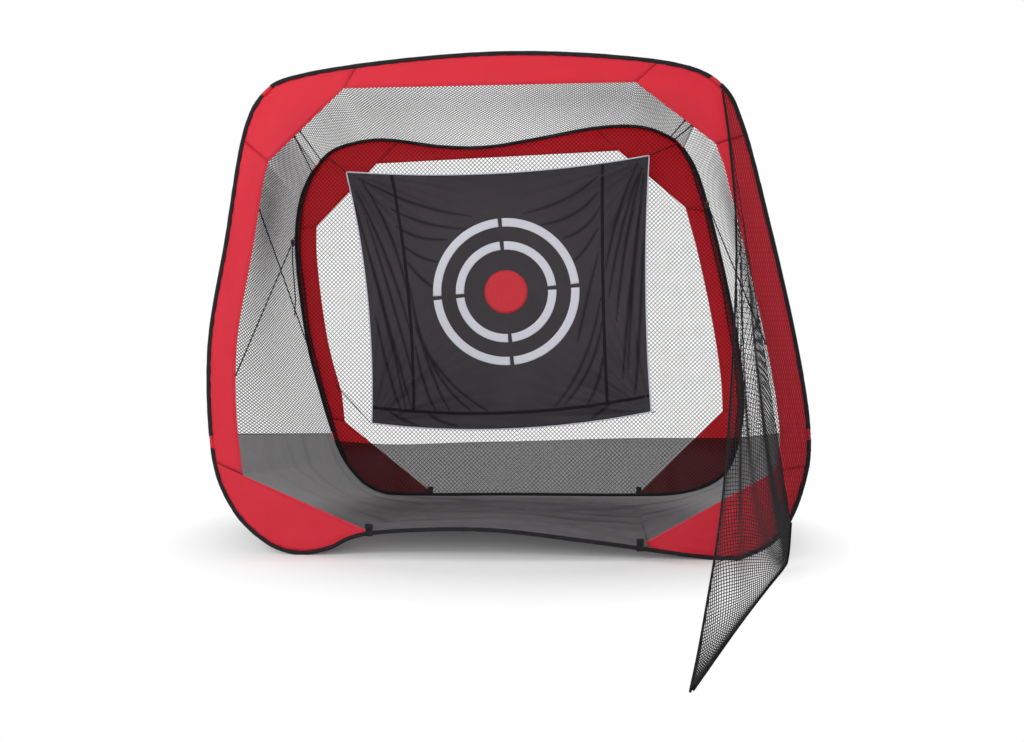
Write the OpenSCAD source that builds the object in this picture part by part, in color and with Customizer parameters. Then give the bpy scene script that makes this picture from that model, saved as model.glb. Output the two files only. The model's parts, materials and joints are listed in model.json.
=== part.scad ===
// Pop-up golf chipping net: two sprung steel hoops in fabric sleeves, netting walls between them,
// a mesh floor, a hung target sheet, bracing cords with cord locks, and a side wing of netting.
// The view from the front looks along +Y, with +X to the right and the ground at z = 0.

/* [Frame] */
// Width of each hoop across its widest part
hoop_w = 2400; // [1800:50:3000]
// Height of each hoop from the ground to its highest point
hoop_h = 2000; // [1500:50:2400]
// Distance between the middles of the two hoops
net_depth = 1420; // [1000:20:1800]
// Diameter of the spring steel wire
wire_d = 5; // [4:0.5:6]
// Width of the fabric sleeve, seen from the front
sleeve_w = 18; // [16:1:24]
// Thickness of the sleeve from front to back
sleeve_t = 13; // [12:1:18]
// Diameter of the channel in the sleeve
sleeve_bore = 9; // [8.5:0.25:10]
// Length of the crimped ferrule that joins the wire's ends
ferrule_len = 42; // [30:2:60]

/* [Border] */
// Width of the fabric bands down the sides
band_w = 102; // [70:2:130]
// Thickness of the border fabric
fabric_t = 2; // [1:0.5:3]

/* [Netting] */
// Width of the strands of the netting
strand_w = 9; // [6:1:14]
// Thickness of netting and mesh sheets
net_t = 2; // [1.5:0.5:3]
// Spacing of the knots of the rear net, along its diagonals
rear_pitch = 150; // [140:10:240]
// How far the side nets and the roof net belly outwards
belly = 50; // [0:5:100]
// How far the mesh floor sags
floor_sag = 12; // [0:2:20]
// Height of the mesh skirt at the rear
skirt_h = 330; // [200:10:450]

/* [Target] */
// How far the target hangs in front of the rear hoop
target_gap = 130; // [100:5:180]
// Middle of the bullseye above the ground
bull_z = 1110; // [900:10:1200]
// Radius of the red disc
bull_r = 114; // [80:2:150]
// Inner radius of the first ring
ring_1_r = 222; // [180:2:260]
// Inner radius of the second ring
ring_2_r = 343; // [320:2:350]
// Width of both rings
ring_w = 44; // [30:2:50]
// Gap between the quarters of each ring
ring_gap = 20; // [10:2:30]
// Width of the piping round the sheet
piping_w = 8; // [6:1:12]
// Width of the sewn tapes
tape_w = 16; // [10:1:24]

/* [Cords] */
// Diameter of the bracing cords and the ties
cord_d = 5; // [3:0.5:6]
// Diameter of the knots that end a cord
knot_d = 10; // [8:1:12]
// Outer diameter of a cord lock
lock_d = 18; // [16:1:22]
// Length of a cord lock's barrel
lock_len = 26; // [24:1:34]
// Travel of a cord lock's plunger
plunger_travel = 4; // [2:0.5:5]
// Width of the webbing of the peg loops
loop_w = 28; // [20:1:40]
// Radius of the eye of a peg loop
loop_r = 8; // [6:0.5:10]

/* [Wing] */
// How far in front of the hoop the wing is pegged down
wing_reach = 1440; // [1000:20:1700]
// Diameter of the wing's edge cord
wing_cord_d = 8; // [6:1:10]

/* [Hidden] */

steps = 3;         // straight runs between two outline points
tube_sides = 8;
wire_sides = 6;
touch = 0.3;       // clearance where pieces of one body only touch
running = 0.1;     // radial clearance of a sliding fit

// Outlines of the hoops' outer edge, clockwise from the top, as shares of hoop_w and hoop_h.
front_shape = [[0, 1], [0.165, 0.992], [0.3, 0.969], [0.365, 0.927], [0.396, 0.855], [0.428, 0.72],
    [0.484, 0.44], [0.509, 0.245], [0.4965, 0.134], [0.464, 0.051], [0.415, 0.01], [0.355, 0],
    [0.156, 0.029], [-0.03, 0.051], [-0.218, 0.041], [-0.29, 0.009], [-0.345, 0], [-0.4, 0.025],
    [-0.455, 0.093], [-0.488, 0.205], [-0.492, 0.42], [-0.46, 0.637], [-0.428, 0.845],
    [-0.39, 0.93], [-0.33, 0.962], [-0.18, 0.987]];
rear_shape = [[0.033, 0.969], [0.173, 0.998], [0.268, 1], [0.332, 0.975], [0.3725, 0.9345],
    [0.41, 0.8445], [0.457, 0.637], [0.495, 0.41], [0.5075, 0.25], [0.489, 0.118], [0.452, 0.05],
    [0.37, 0.012], [0.25, 0.004], [0, 0.003], [-0.25, 0], [-0.325, 0.012], [-0.375, 0.056],
    [-0.415, 0.132], [-0.453, 0.275], [-0.486, 0.434], [-0.508, 0.66], [-0.501, 0.789],
    [-0.475, 0.873], [-0.432, 0.935], [-0.38, 0.962], [-0.3, 0.973], [-0.17, 0.953], [-0.07, 0.951]];

// A hoop is [outline, y]. A station counts the outline's points, so 2.5 is halfway from point 2 to 3.
front_hoop = [[for (p = front_shape) [p.x * hoop_w, p.y * hoop_h]], 0];
rear_hoop = [[for (p = rear_shape) [p.x * hoop_w, p.y * hoop_h]], net_depth];

// Bare corners of the sleeves as [station, half length in stations]: top right, bottom right,
// bottom left, top left.
front_gaps = [[2.75, 0.16], [6.96, 0.07], [19.13, 0.065], [23.05, 0.16]];
rear_gaps = [[3.7, 0.22], [8.57, 0.1], [17.25, 0.09], [22.4, 0.17]];

// Seams of the border as stations, clockwise: the top band starts at the first.
front_seams = [24.66, 1.63, 4.2, 7.45, 11.55, 14, 18.87, 21.92];
rear_seams = [25.25, 1, 5.4, 8.05, 11.8, 13.79, 17.58, 20.47];
// Inner corners of the border at those seams, as shares of hoop_w and hoop_h. The lowest stand on the sleeve.
hem_rise = sleeve_w / hoop_h;
front_corners = [[-0.257, 0.932], [0.2217, 0.936], [0.351, 0.816], [0.451, 0.177],
    [0.242, 0.025 + hem_rise], [-0.22, 0.041 + hem_rise], [-0.434, 0.161], [-0.384, 0.79]];
rear_corners = [[-0.319, 0.905], [0.2246, 0.933], [0.373, 0.781], [0.459, 0.236],
    [0.2754, 0.005 + hem_rise], [-0.197, 0.002 + hem_rise], [-0.396, 0.2035], [-0.458, 0.7365]];

red = "crimson";
dark_red = "firebrick";
black = [0.12, 0.12, 0.13];
mesh_grey = [0.42, 0.42, 0.43];
sheet_grey = [0.27, 0.25, 0.27];
pale = [0.82, 0.84, 0.9];

// ---- curves and sweeps ----

function lerp(a, b, t) = a + (b - a) * t;

// A point of a smooth closed curve through the points P.
function on_curve(P, s) =
    let (n = len(P), i = floor(s), t = s - i,
         a = P[(i - 1 + n) % n], b = P[i % n], c = P[(i + 1) % n], d = P[(i + 2) % n])
    0.5 * (2 * b + (c - a) * t + (2 * a - 5 * b + 4 * c - d) * t * t
           + (3 * b - a - 3 * c + d) * t * t * t);

// The hoop's outer edge at a station, which never goes under the ground.
function outline_at(H, s) =
    let (n = len(H[0]), p = on_curve(H[0], (s + n) % n)) [p.x, max(p.y, 0)];

// The unit normal that points into the hoop, in the hoop's plane.
function inward(H, s) =
    let (d = outline_at(H, s + 0.05) - outline_at(H, s - 0.05)) [d.y, -d.x] / norm(d);

// A point of the hoop's plane, depth d inside the outer edge, straight between the swept rings.
function inside_at(H, s, d) =
    let (k = floor(s * steps + 0.0001), f = s * steps - k)
    lerp(outline_at(H, k / steps) + inward(H, k / steps) * d,
         outline_at(H, (k + 1) / steps) + inward(H, (k + 1) / steps) * d, f);

// Stations from s0 to s1 with every swept ring between them.
function stations(s0, s1) =
    concat([s0], [for (k = [floor(s0 * steps + 1.01) : ceil(s1 * steps - 1.01)]) k / steps], [s1]);

// A cross-section of a tube along the hoop: half width a, half thickness b, flat towards the border.
function tube_ring(H, s, a, b, sides) =
    [for (i = [0 : sides - 1])
        let (turn = 360 * (i + 0.5) / sides, out = 1 / cos(180 / sides),
             p = inside_at(H, s, sleeve_w / 2 + a * out * cos(turn)))
        [p.x, H[1] + b * out * sin(turn), p.y]];

function two_triangles(a, b, c, d) = [[a, c, b], [a, d, c]];

// A solid through rings of points. Its ends, if open, are closed by strips from side to side.
module skin(rings, closed = false) {
    n = len(rings[0]);
    m = len(rings);
    walls = [for (j = [0 : m - (closed ? 1 : 2)]) for (i = [0 : n - 1])
        for (f = two_triangles(j * n + i, j * n + (i + 1) % n,
                ((j + 1) % m) * n + (i + 1) % n, ((j + 1) % m) * n + i)) f];
    start = [for (i = [0 : n / 2 - 2]) for (f = two_triangles(i, n - 1 - i, n - 2 - i, i + 1)) f];
    end = [for (f = start) [for (v = [2, 1, 0]) f[v] + (m - 1) * n]];
    polyhedron([for (r = rings) for (p = r) p], closed ? walls : concat(walls, start, end), convexity = 8);
}

// A round tube through points in space, with a radius for each point.
module cord_run(P, radii, sides) {
    m = len(P) - 1;
    skin([for (j = [0 : m])
        let (d = P[min(j + 1, m)] - P[max(j - 1, 0)], t = d / norm(d),
             side = cross(t, abs(t.z) < 0.9 ? [0, 0, 1] : [0, 1, 0]), u = side / norm(side), w = cross(t, u))
        [for (i = [0 : sides - 1]) P[j] + radii[j] * (u * cos(360 * i / sides) + w * sin(360 * i / sides))]]);
}

// A point at share u of the length of an open line through the points P.
function run_lengths(P, i = 0, sum = 0) =
    i >= len(P) - 1 ? [sum] : concat([sum], run_lengths(P, i + 1, sum + norm(P[i + 1] - P[i])));
function run_length(P) = let (runs = run_lengths(P)) runs[len(runs) - 1];
function along(P, u) =
    let (runs = run_lengths(P), want = u * runs[len(P) - 1],
         i = max([for (k = [0 : len(P) - 2]) runs[k] <= want ? k : 0]))
    lerp(P[i], P[i + 1], (want - runs[i]) / (runs[i + 1] - runs[i]));

// A smooth open curve through the points P at share u.
function smooth(P, u) =
    let (m = len(P) - 1, s = min(u * m, m - 0.0001), i = floor(s), t = s - i,
         a = P[max(i - 1, 0)], b = P[i], c = P[i + 1], d = P[min(i + 2, m)])
    0.5 * (2 * b + (c - a) * t + (2 * a - 5 * b + 4 * c - d) * t * t
           + (3 * b - a - 3 * c + d) * t * t * t);

// ---- sheets ----

function keep(i, n) = min(max(i, 0), n);

// The unit normal of a grid of points G at row j and column i.
function sheet_normal(G, j, i) =
    let (m = len(G) - 1, n = len(G[0]) - 1,
         c = cross(G[j][keep(i + 1, n)] - G[j][keep(i - 1, n)], G[keep(j + 1, m)][i] - G[keep(j - 1, m)][i]))
    c / norm(c);

// The points of a sheet about the grid G, front and back of each knot, and their places in that list.
function sheet_points(G, t) =
    [for (j = [0 : len(G) - 1]) for (i = [0 : len(G[0]) - 1]) for (side = [1, -1])
        G[j][i] + sheet_normal(G, j, i) * side * t / 2];
function sheet_knot(G, j, i, side) = 2 * (j * len(G[0]) + i) + side;

// The same two triangles seen from the other side.
function two_behind(a, b, c, d) = [for (f = two_triangles(a, b, c, d)) [f[2], f[1], f[0]]];

// The faces round the four edges of a sheet.
function sheet_edges(G) =
    let (m = len(G) - 1, n = len(G[0]) - 1)
    concat([for (i = [0 : n - 1]) for (e = [[0, i + 1, i], [m, i, i + 1]])
                for (f = two_triangles(sheet_knot(G, e[0], e[1], 0), sheet_knot(G, e[0], e[2], 0),
                        sheet_knot(G, e[0], e[2], 1), sheet_knot(G, e[0], e[1], 1))) f],
           [for (j = [0 : m - 1]) for (e = [[0, j, j + 1], [n, j + 1, j]])
                for (f = two_triangles(sheet_knot(G, e[1], e[0], 0), sheet_knot(G, e[2], e[0], 0),
                        sheet_knot(G, e[2], e[0], 1), sheet_knot(G, e[1], e[0], 1))) f]);

// A closed sheet of thickness t about the grid G, folded along the same lines front and back.
module sheet(G, t) {
    cells = [for (j = [0 : len(G) - 2]) for (i = [0 : len(G[0]) - 2])
        let (front = [sheet_knot(G, j, i, 0), sheet_knot(G, j, i + 1, 0),
                      sheet_knot(G, j + 1, i + 1, 0), sheet_knot(G, j + 1, i, 0)])
        for (f = concat(two_triangles(front[0], front[1], front[2], front[3]),
                        two_behind(front[0] + 1, front[1] + 1, front[2] + 1, front[3] + 1))) f];
    polyhedron(sheet_points(G, t), concat(cells, sheet_edges(G)), convexity = 10);
}

// Netting about the grid G: each cell of the grid is a gap between strands of width w.
module netting(G, t, w) {
    n = len(G[0]) - 1;
    knots = sheet_points(G, t);
    around = [[0, 0], [0, 1], [1, 1], [1, 0]];
    function rim(j, i, k, side) = len(knots) + 8 * (j * n + i) + 2 * (k % 4) + side;
    function cell_knot(j, i, k, side) = sheet_knot(G, j + around[k % 4][0], i + around[k % 4][1], side);
    rims = [for (j = [0 : len(G) - 2]) for (i = [0 : n - 1]) for (k = [0 : 3]) for (side = [0, 1])
        let (own = knots[cell_knot(j, i, k, side)],
             next = knots[cell_knot(j, i, k + 1, side)],
             last = knots[cell_knot(j, i, k + 3, side)])
        own + (next - own) * w / 2 / norm(next - own) + (last - own) * w / 2 / norm(last - own)];
    cells = [for (j = [0 : len(G) - 2]) for (i = [0 : n - 1]) for (k = [0 : 3])
        for (f = concat(
            two_triangles(cell_knot(j, i, k, 0), cell_knot(j, i, k + 1, 0), rim(j, i, k + 1, 0), rim(j, i, k, 0)),
            two_behind(cell_knot(j, i, k, 1), cell_knot(j, i, k + 1, 1), rim(j, i, k + 1, 1), rim(j, i, k, 1)),
            two_triangles(rim(j, i, k, 0), rim(j, i, k + 1, 0), rim(j, i, k + 1, 1), rim(j, i, k, 1)))) f];
    polyhedron(concat(knots, rims), concat(cells, sheet_edges(G)), convexity = 10);
}

// A flat piece in a hoop's plane, from y0 towards the rear by t.
module flat(y0, t) {
    translate([0, y0 + t, 0]) rotate([90, 0, 0]) linear_extrude(t) children();
}

// ---- hoops: wire, ferrule, sleeves ----

module hoop_wire(H) {
    color("silver")
    skin([for (k = [0 : len(H[0]) * steps - 1]) tube_ring(H, k / steps, wire_d / 2, wire_d / 2, wire_sides)],
        closed = true);
}

// The ferrule sits in the middle of one straight run, at the bottom of the hoop.
module hoop_ferrule(H) {
    a = inside_at(H, 13 + 1 / steps + 0.001, sleeve_w / 2);
    b = inside_at(H, 13 + 2 / steps - 0.001, sleeve_w / 2);
    middle = (a + b) / 2;
    slope = atan2(b.y - a.y, b.x - a.x);
    color("gray")
    translate([middle.x, H[1], middle.y]) rotate([0, -slope, 0]) rotate([0, 90, 0])
    difference() {
        cylinder(h = ferrule_len, d = sleeve_bore - 1.2, center = true, $fn = 32);
        cylinder(h = ferrule_len + 2, d = wire_d / cos(180 / wire_sides) + 0.3, center = true, $fn = 32);
    }
}

module hoop_tube(H, s0, s1, half_w, half_t) {
    S = stations(s0, s1);
    last = len(S) - 1;
    skin(concat([for (s = S) tube_ring(H, s, half_w, half_t, tube_sides)],
                [for (k = [last : -1 : 0]) tube_ring(H, S[k], sleeve_bore / 2, sleeve_bore / 2, tube_sides)]),
        closed = true);
}

// A sleeve runs from one bare corner to the next.
module hoop_sleeve(H, gaps, k) {
    n = len(H[0]);
    a = gaps[(k + 3) % 4];
    b = gaps[k];
    color(black)
    hoop_tube(H, a[0] + a[1] - (k == 0 ? n : 0), b[0] - b[1], sleeve_w / 2, sleeve_t / 2);
}

// The border fabric goes round the wire at the bare corners.
module hoop_wraps(H, gaps) {
    color(red)
    for (g = gaps) hoop_tube(H, g[0] - g[1], g[0] + g[1], sleeve_w / 2 - 1, sleeve_t / 2 - 0.5);
}

// ---- border ----

function corner_at(C, k) = [C[k].x * hoop_w, C[k].y * hoop_h];

// The inner edge of the border at a station, for a hoop with its seams and inner corners.
function border_at(H, seams, C, s) =
    let (n = len(H[0]), w = (s + n) % n,
         k = max([for (i = [1 : 7]) w >= seams[i] ? i : 0]),
         in_top = w >= seams[0] || w < seams[1],
         from = in_top ? seams[0] - n : seams[k],
         to = in_top ? seams[1] : k == 7 ? seams[0] : seams[k + 1],
         v = (w - (in_top && w >= seams[0] ? n : 0) - from) / (to - from))
    in_top ? lerp(corner_at(C, 0), corner_at(C, 1), v)
    : k == 1 || k == 3 || k == 5 || k == 7 ? lerp(corner_at(C, k), corner_at(C, (k + 1) % 8), v)
    : k == 2 || k == 6 ? side_band_at(H, seams, C, k, w, v)
    : inside_at(H, w, sleeve_w);

// A side band keeps its width, and eases into the gussets' corners at its ends.
function side_band_at(H, seams, C, k, s, v) =
    let (ease = 0.12, plain = inside_at(H, s, sleeve_w + band_w),
         start = corner_at(C, k), end = corner_at(C, k + 1))
    v < ease ? lerp(start, inside_at(H, lerp(seams[k], seams[k + 1], ease), sleeve_w + band_w), v / ease)
    : v > 1 - ease
        ? lerp(inside_at(H, lerp(seams[k], seams[k + 1], 1 - ease), sleeve_w + band_w), end, (v - 1 + ease) / ease)
    : plain;

function border_run(H, seams, C, s0, s1) = [for (s = stations(s0, s1)) border_at(H, seams, C, s)];

// One piece of the border from seam k to the next, between the sleeve and the inner edge.
module border_piece(H, seams, C, k) {
    n = len(H[0]);
    s0 = k == 0 ? seams[0] - n : seams[k];
    s1 = seams[(k + 1) % 8];
    outer = [for (s = stations(s0, s1)) inside_at(H, s, sleeve_w)];
    straight = k % 2 == 1 || k == 0;
    side = border_run(H, seams, C, s0, s1 - 0.0001);
    inner = straight ? [corner_at(C, (k + 1) % 8), corner_at(C, k)] : [for (i = [len(side) - 1 : -1 : 0]) side[i]];
    flat(H[1] - fabric_t / 2, fabric_t) polygon(concat(outer, inner));
}

module front_border(k) { color(red) border_piece(front_hoop, front_seams, front_corners, k); }
module rear_border(k) { color(dark_red) border_piece(rear_hoop, rear_seams, rear_corners, k); }

// ---- peg loops and cord tabs ----

// Where a peg loop stands, on the sleeve at a station; towards is -1 for the front face, 1 for the rear.
loop_rise = 22;
loop_off = sleeve_t / 2 + 4.5;
function peg_loop_at(H, s, towards) =
    let (p = inside_at(H, s, sleeve_w / 2)) [p.x, H[1] + towards * loop_off, p.y + sleeve_w / 2 + loop_rise];

// Webbing folded into an eye, with a tab that is sewn to the sleeve's face.
module peg_loop(H, s, towards) {
    at = peg_loop_at(H, s, towards);
    web_t = 2;
    tab_y = H[1] + towards * (sleeve_t / 2 + web_t / 2);
    tab_bottom = at.z - loop_rise - sleeve_w / 2 - 4;
    tab_top = at.z - sqrt(pow(loop_r + web_t / 2, 2) - pow(at.y - tab_y, 2));
    color(black) union() {
        translate(at) rotate([0, 90, 0]) difference() {
            cylinder(h = loop_w, r = loop_r + web_t, center = true, $fn = 48);
            cylinder(h = loop_w + 2, r = loop_r, center = true, $fn = 48);
        }
        translate([at.x, tab_y, (tab_bottom + tab_top) / 2])
            cube([loop_w, web_t, tab_top - tab_bottom], center = true);
    }
}

front_loop_s = [14, 11.64];
rear_loop_s = [13.75, 11.86];

// Where the front ends of the cords are held, as stations of the front border.
brace_high_s = [21.3, 5.1];
brace_low_s = [19.76, 6];
corner_cord_s = [[22.87, 23.07], [3.22, 3.43]];
tab_size = 18;
tab_t = 2;
tab_in = 14;       // from the border's inner edge to a cord's middle

// The direction into the opening, at the border's inner edge.
function border_in(s) =
    let (d = border_at(front_hoop, front_seams, front_corners, s + 0.04)
           - border_at(front_hoop, front_seams, front_corners, s - 0.04)) [d.y, -d.x] / norm(d);
function tab_point(s, d) = border_at(front_hoop, front_seams, front_corners, s) + border_in(s) * d;
function front_end(s) = let (p = tab_point(s, tab_in)) [p.x, -fabric_t / 2 + touch + cord_d / 4, p.y];

module cord_tab(s) {
    p = tab_point(s, tab_in - tab_size / 2);
    turn = atan2(border_in(s).y, border_in(s).x);
    translate([p.x, -fabric_t / 2 - touch - tab_t / 2, p.y]) rotate([0, -turn, 0])
        cube([tab_size * 1.5, tab_t, tab_size], center = true);
}

// ---- netting walls and mesh floor ----

// The edge where a wall is sewn inside the front border, and the edge along the rear sleeve.
wall_inset = net_t / 2 + 4 * touch;
function front_edge(s0, s1) =
    [for (s = stations(s0, s1))
        let (p = border_at(front_hoop, front_seams, front_corners, s), q = p + border_in(s) * wall_inset)
        [q.x, 0, q.y]];
function rear_edge(s0, s1) =
    [for (s = stations(s0, s1))
        let (p = inside_at(rear_hoop, s, 3)) [p.x, net_depth - sleeve_t / 2 - touch, max(p.y, 4)]];

roof_seam = 0.8;   // share of the belly at the seams of the roof
belly_lean = 1.2;  // over 1, the belly lies nearer the rear
// Stations of the seams between the walls: roof to left and right, and sides to floor.
front_roof_s = [22.92, 3.35];
rear_roof_s = [21.4, 5.0];
front_floor_s = [19.2, 6.93];
rear_floor_s = [17.3, 8.6];

// A wall bellies away from the middle of the net: by share 1 where it hangs loosest, less at its seams.
// Its edges stay clear of its neighbours' along the seams, and its columns crowd towards them.
function wall(front, rear, rows, cols, crowding, seam_shares) =
    [for (j = [0 : rows]) [for (i = [0 : cols])
        let (v = j / rows, length = lerp(run_length(front), run_length(rear), v),
             even = i / cols - crowding * sin(360 * i / cols),
             u = lerp(wall_inset / length, 1 - wall_inset / length, even),
             p = lerp(along(front, u), along(rear, u), v),
             away = [p.x, 0, p.z - hoop_h / 2] / norm([p.x, p.z - hoop_h / 2]),
             share = lerp(seam_shares[0], seam_shares[1], u) * (1 - sin(180 * u)) + sin(180 * u))
        p + belly * share * sin(180 * pow(v, belly_lean)) * away]];

roof_grid = wall(front_edge(front_roof_s[0] - len(front_shape), front_roof_s[1]),
    rear_edge(rear_roof_s[0] - len(rear_shape), rear_roof_s[1]), 6, 13, 0.06, [roof_seam, roof_seam]);
left_grid = wall(front_edge(front_floor_s[0], front_roof_s[0]),
    rear_edge(rear_floor_s[0], rear_roof_s[0]), 7, 8, 0, [0, roof_seam]);
right_grid = wall(front_edge(front_roof_s[1], front_floor_s[1]),
    rear_edge(rear_roof_s[1], rear_floor_s[1]), 7, 8, 0, [roof_seam, 0]);

// The mesh floor lies in shallow folds that run from side to side.
fold_h = 5;
floor_front = front_edge(front_floor_s[1], front_floor_s[0]);
floor_rear = rear_edge(rear_floor_s[1], rear_floor_s[0]);
floor_grid = [for (j = [0 : 9]) [for (i = [0 : 18])
    let (u = lerp(0.001, 0.999, i / 18), p = lerp(along(floor_front, u), along(floor_rear, u), j / 9),
         fold = fold_h * sin(160 * j + 12 * i) - floor_sag * sin(20 * j))
    [p.x, p.y, max(p.z + fold * sin(180 * u), net_t + 1)]]];

// ---- rear net and skirt ----

function rear_inside(d) = [for (k = [0 : len(rear_shape) * steps - 1]) inside_at(rear_hoop, k / steps, d)];
rear_net_y = net_depth - fabric_t / 2 - net_t;
gap_side = rear_pitch - strand_w;

// ---- target sheet ----

target_y = net_depth - target_gap;
// Corners of the sheet, and how far the middle of each edge draws in, on a frame of the usual size.
target_corners = [[-0.3745, 0.871], [0.2865, 0.906], [0.294, 0.241], [-0.321, 0.207]];
top_draw = -49;
bottom_draw = -60;
left_draw = 44;
right_draw = -22;
crease = 9;        // depth of the creases that run from the corners
crease_run = 650;  // how far they reach
crease_start = 160; // how far from its corner a crease is full
print_margin = 105; // flat cloth round the outer ring
print_fade = 150;  // over which the creases die out
target_cols = 20;
target_rows = 16;
bull = [-0.023 * hoop_w, bull_z];
target_turn = 5;   // the sheet hangs a little askew

function target_corner(k) = [target_corners[k].x * hoop_w, target_corners[k].y * hoop_h];
function sheet_xz(u, v) =
    lerp(lerp(target_corner(0), target_corner(1), u), lerp(target_corner(3), target_corner(2), u), v)
    + [4 * v * (1 - v) * lerp(left_draw, right_draw, u), 4 * u * (1 - u) * lerp(top_draw, bottom_draw, v)];

// Creases fan out of each corner, and leave the printed middle flat.
function creases(p) =
    let (flat_r = ring_2_r + ring_w + print_margin, fade = min(max((norm(p - bull) - flat_r) / print_fade, 0), 1))
    fade * crease * [for (k = [0 : 3])
        let (d = p - target_corner(k), r = norm(d))
        sin(atan2(d.y, d.x) * 12) * exp(-pow(r / crease_run, 2)) * (1 - exp(-pow(r / crease_start, 2)))] * [1, 1, 1, 1];
target_grid = [for (j = [0 : target_rows]) [for (i = [0 : target_cols])
    let (p = sheet_xz(i / target_cols, j / target_rows)) [p.x, target_y + creases(p), p.y]]];

target_edge = concat([for (i = [0 : target_cols - 1]) target_grid[0][i]],
    [for (j = [0 : target_rows - 1]) target_grid[j][target_cols]],
    [for (i = [target_cols : -1 : 1]) target_grid[target_rows][i]],
    [for (j = [target_rows : -1 : 1]) target_grid[j][0]]);
function edge_out(k) =
    let (m = len(target_edge), d = target_edge[(k + 1) % m] - target_edge[(k + m - 1) % m])
    [-d.z, 0, d.x] / norm([d.x, d.z]);

// A tape along a row or a column of the sheet; over is the neighbouring line it leans across.
function tape_ring(p, a, b) =
    let (off = [0, -net_t / 2 - 7 * touch, 0], thick = [0, -1.2, 0],
         l = p + (a - p) * tape_w / 2 / norm(a - p), r = p + (b - p) * tape_w / 2 / norm(b - p))
    [l + off, r + off, r + off + thick, l + off + thick];
tape_columns = [3, 17];
tape_row = 15;

// ---- cords ----

// A straight cord from a to b, with a knot at b.
module tied_cord(a, b, knot = knot_d) {
    d = b - a;
    translate(a) rotate([0, acos(d.z / norm(d)), atan2(d.y, d.x)]) cylinder(h = norm(d), d = cord_d, $fn = 24);
    translate(b) sphere(d = knot, $fn = 24);
}

// A knot that rests on the front of the rear sleeve, at a station and a depth inside the hoop's edge.
function rear_knot(s, depth = 16) =
    let (p = inside_at(rear_hoop, s, depth)) [p.x, net_depth - sleeve_t / 2 - knot_d / 2 - touch, p.y];

brace_high = [[front_end(brace_high_s[0]), rear_knot(18.7)], [front_end(brace_high_s[1]), rear_knot(7.15, 20)]];
brace_low = [[front_end(brace_low_s[0]), rear_knot(20.4)], [front_end(brace_low_s[1]), rear_knot(5.15)]];
corner_ties = [for (k = [0, 1]) for (i = [0, 1])
    [front_end(corner_cord_s[k][i]), rear_knot([[22.15, 22.65], [3.15, 3.36]][k][i])]];

// The ties go from the sheet's corners to the rear hoop, or to the rear net at the bottom.
tie_reach = piping_w + knot_d / 2;
function tie_end(k) =
    let (away = target_corner(k) - bull, p = target_corner(k) + away / norm(away) * tie_reach)
    [p.x, target_y, p.y];
net_front_y = rear_net_y - knot_d / 2 - touch;
tie_points = [rear_knot(22.9), rear_knot(3.62), [0.308 * hoop_w, net_front_y, 0.235 * hoop_h],
    [-0.412 * hoop_w, net_front_y, 0.3 * hoop_h]];

// ---- cord locks ----

lock_share = 0.9;  // place of a lock along its cord, from the front
function lock_at(k) = lerp(brace_low[k][0], brace_low[k][1], lock_share);
function lock_yaw(k) = let (d = brace_low[k][1] - brace_low[k][0]) atan2(d.y, d.x);
function lock_pitch(k) = let (d = brace_low[k][1] - brace_low[k][0]) asin(d.z / norm(d));
module at_lock(k) { translate(lock_at(k)) rotate([0, -lock_pitch(k), lock_yaw(k)]) children(); }

plunger_d = lock_d - 6;
well_bottom = lock_len / 2 - 3;      // floor of the barrel's well below the cord
plunger_below = well_bottom - plunger_travel - 2.5;
spring_len = well_bottom - plunger_below - 0.2;

module cord_hole() {
    rotate([0, 90, 0]) cylinder(h = lock_d + 2, d = cord_d + 2 * running, center = true, $fn = 24);
}

// A barrel across the cord, with a well for the plunger and a hole for the cord.
module lock_barrel() {
    color(black) difference() {
        cylinder(h = lock_len, d = lock_d, center = true, $fn = 48);
        translate([0, 0, -well_bottom]) cylinder(h = lock_len, d = plunger_d + 2 * running, $fn = 48);
        cord_hole();
    }
}

// The plunger stands out of the barrel, and its slot lets it move across the cord.
module lock_plunger() {
    color([0.2, 0.2, 0.22]) difference() {
        union() {
            translate([0, 0, -plunger_below])
                cylinder(h = plunger_below + lock_len / 2 + plunger_travel + 1, d = plunger_d, $fn = 48);
            translate([0, 0, lock_len / 2 + plunger_travel + 1]) cylinder(h = 2.5, d = plunger_d + 2, $fn = 48);
        }
        for (z = [0, plunger_travel + 0.2]) translate([0, 0, z]) cord_hole();
        translate([0, 0, plunger_travel / 2 + 0.1])
            cube([lock_d + 2, cord_d + 2 * running, plunger_travel + 0.2], center = true);
    }
}

module lock_spring() {
    color("silver") translate([0, 0, -well_bottom + 0.1]) difference() {
        cylinder(h = spring_len, d = plunger_d - 2, $fn = 32);
        translate([0, 0, -1]) cylinder(h = spring_len + 2, d = plunger_d - 5, $fn = 32);
    }
}

// The loose end of the left cord hangs from the end of its lock, as offsets from there in mm.
function lock_up(k) =
    [-sin(lock_pitch(k)) * cos(lock_yaw(k)), -sin(lock_pitch(k)) * sin(lock_yaw(k)), cos(lock_pitch(k))];
tail_start = lock_at(0) - lock_up(0) * (lock_len / 2 + 1);
tail_route = [[0, 0, 0], [0, 4, -12], [4, 6, -48], [10, 5, -100], [17, 3, -150], [22, 2, -200],
    [25, 2, -250], [27, 3, -290], [24, 3, -330], [21, 4, -372]];
tail_rings = 34;
tail_knots = [0.72, 0.98];
function tail_radius(u) =
    cord_d / 2 + 2.6 * max([for (k = tail_knots) exp(-pow((u - k) / 0.018, 2))]);

// ---- wing ----

wing_front = -(sleeve_t / 2 + 9);
wing_top = [0.36 * hoop_w, wing_front, 0.925 * hoop_h];
wing_foot = [0.477 * hoop_w, wing_front, 0.078 * hoop_h];
ground_line = wing_cord_d / 2 + 1;
wing_tip = [0.242 * hoop_w, -wing_reach, ground_line];
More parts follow.
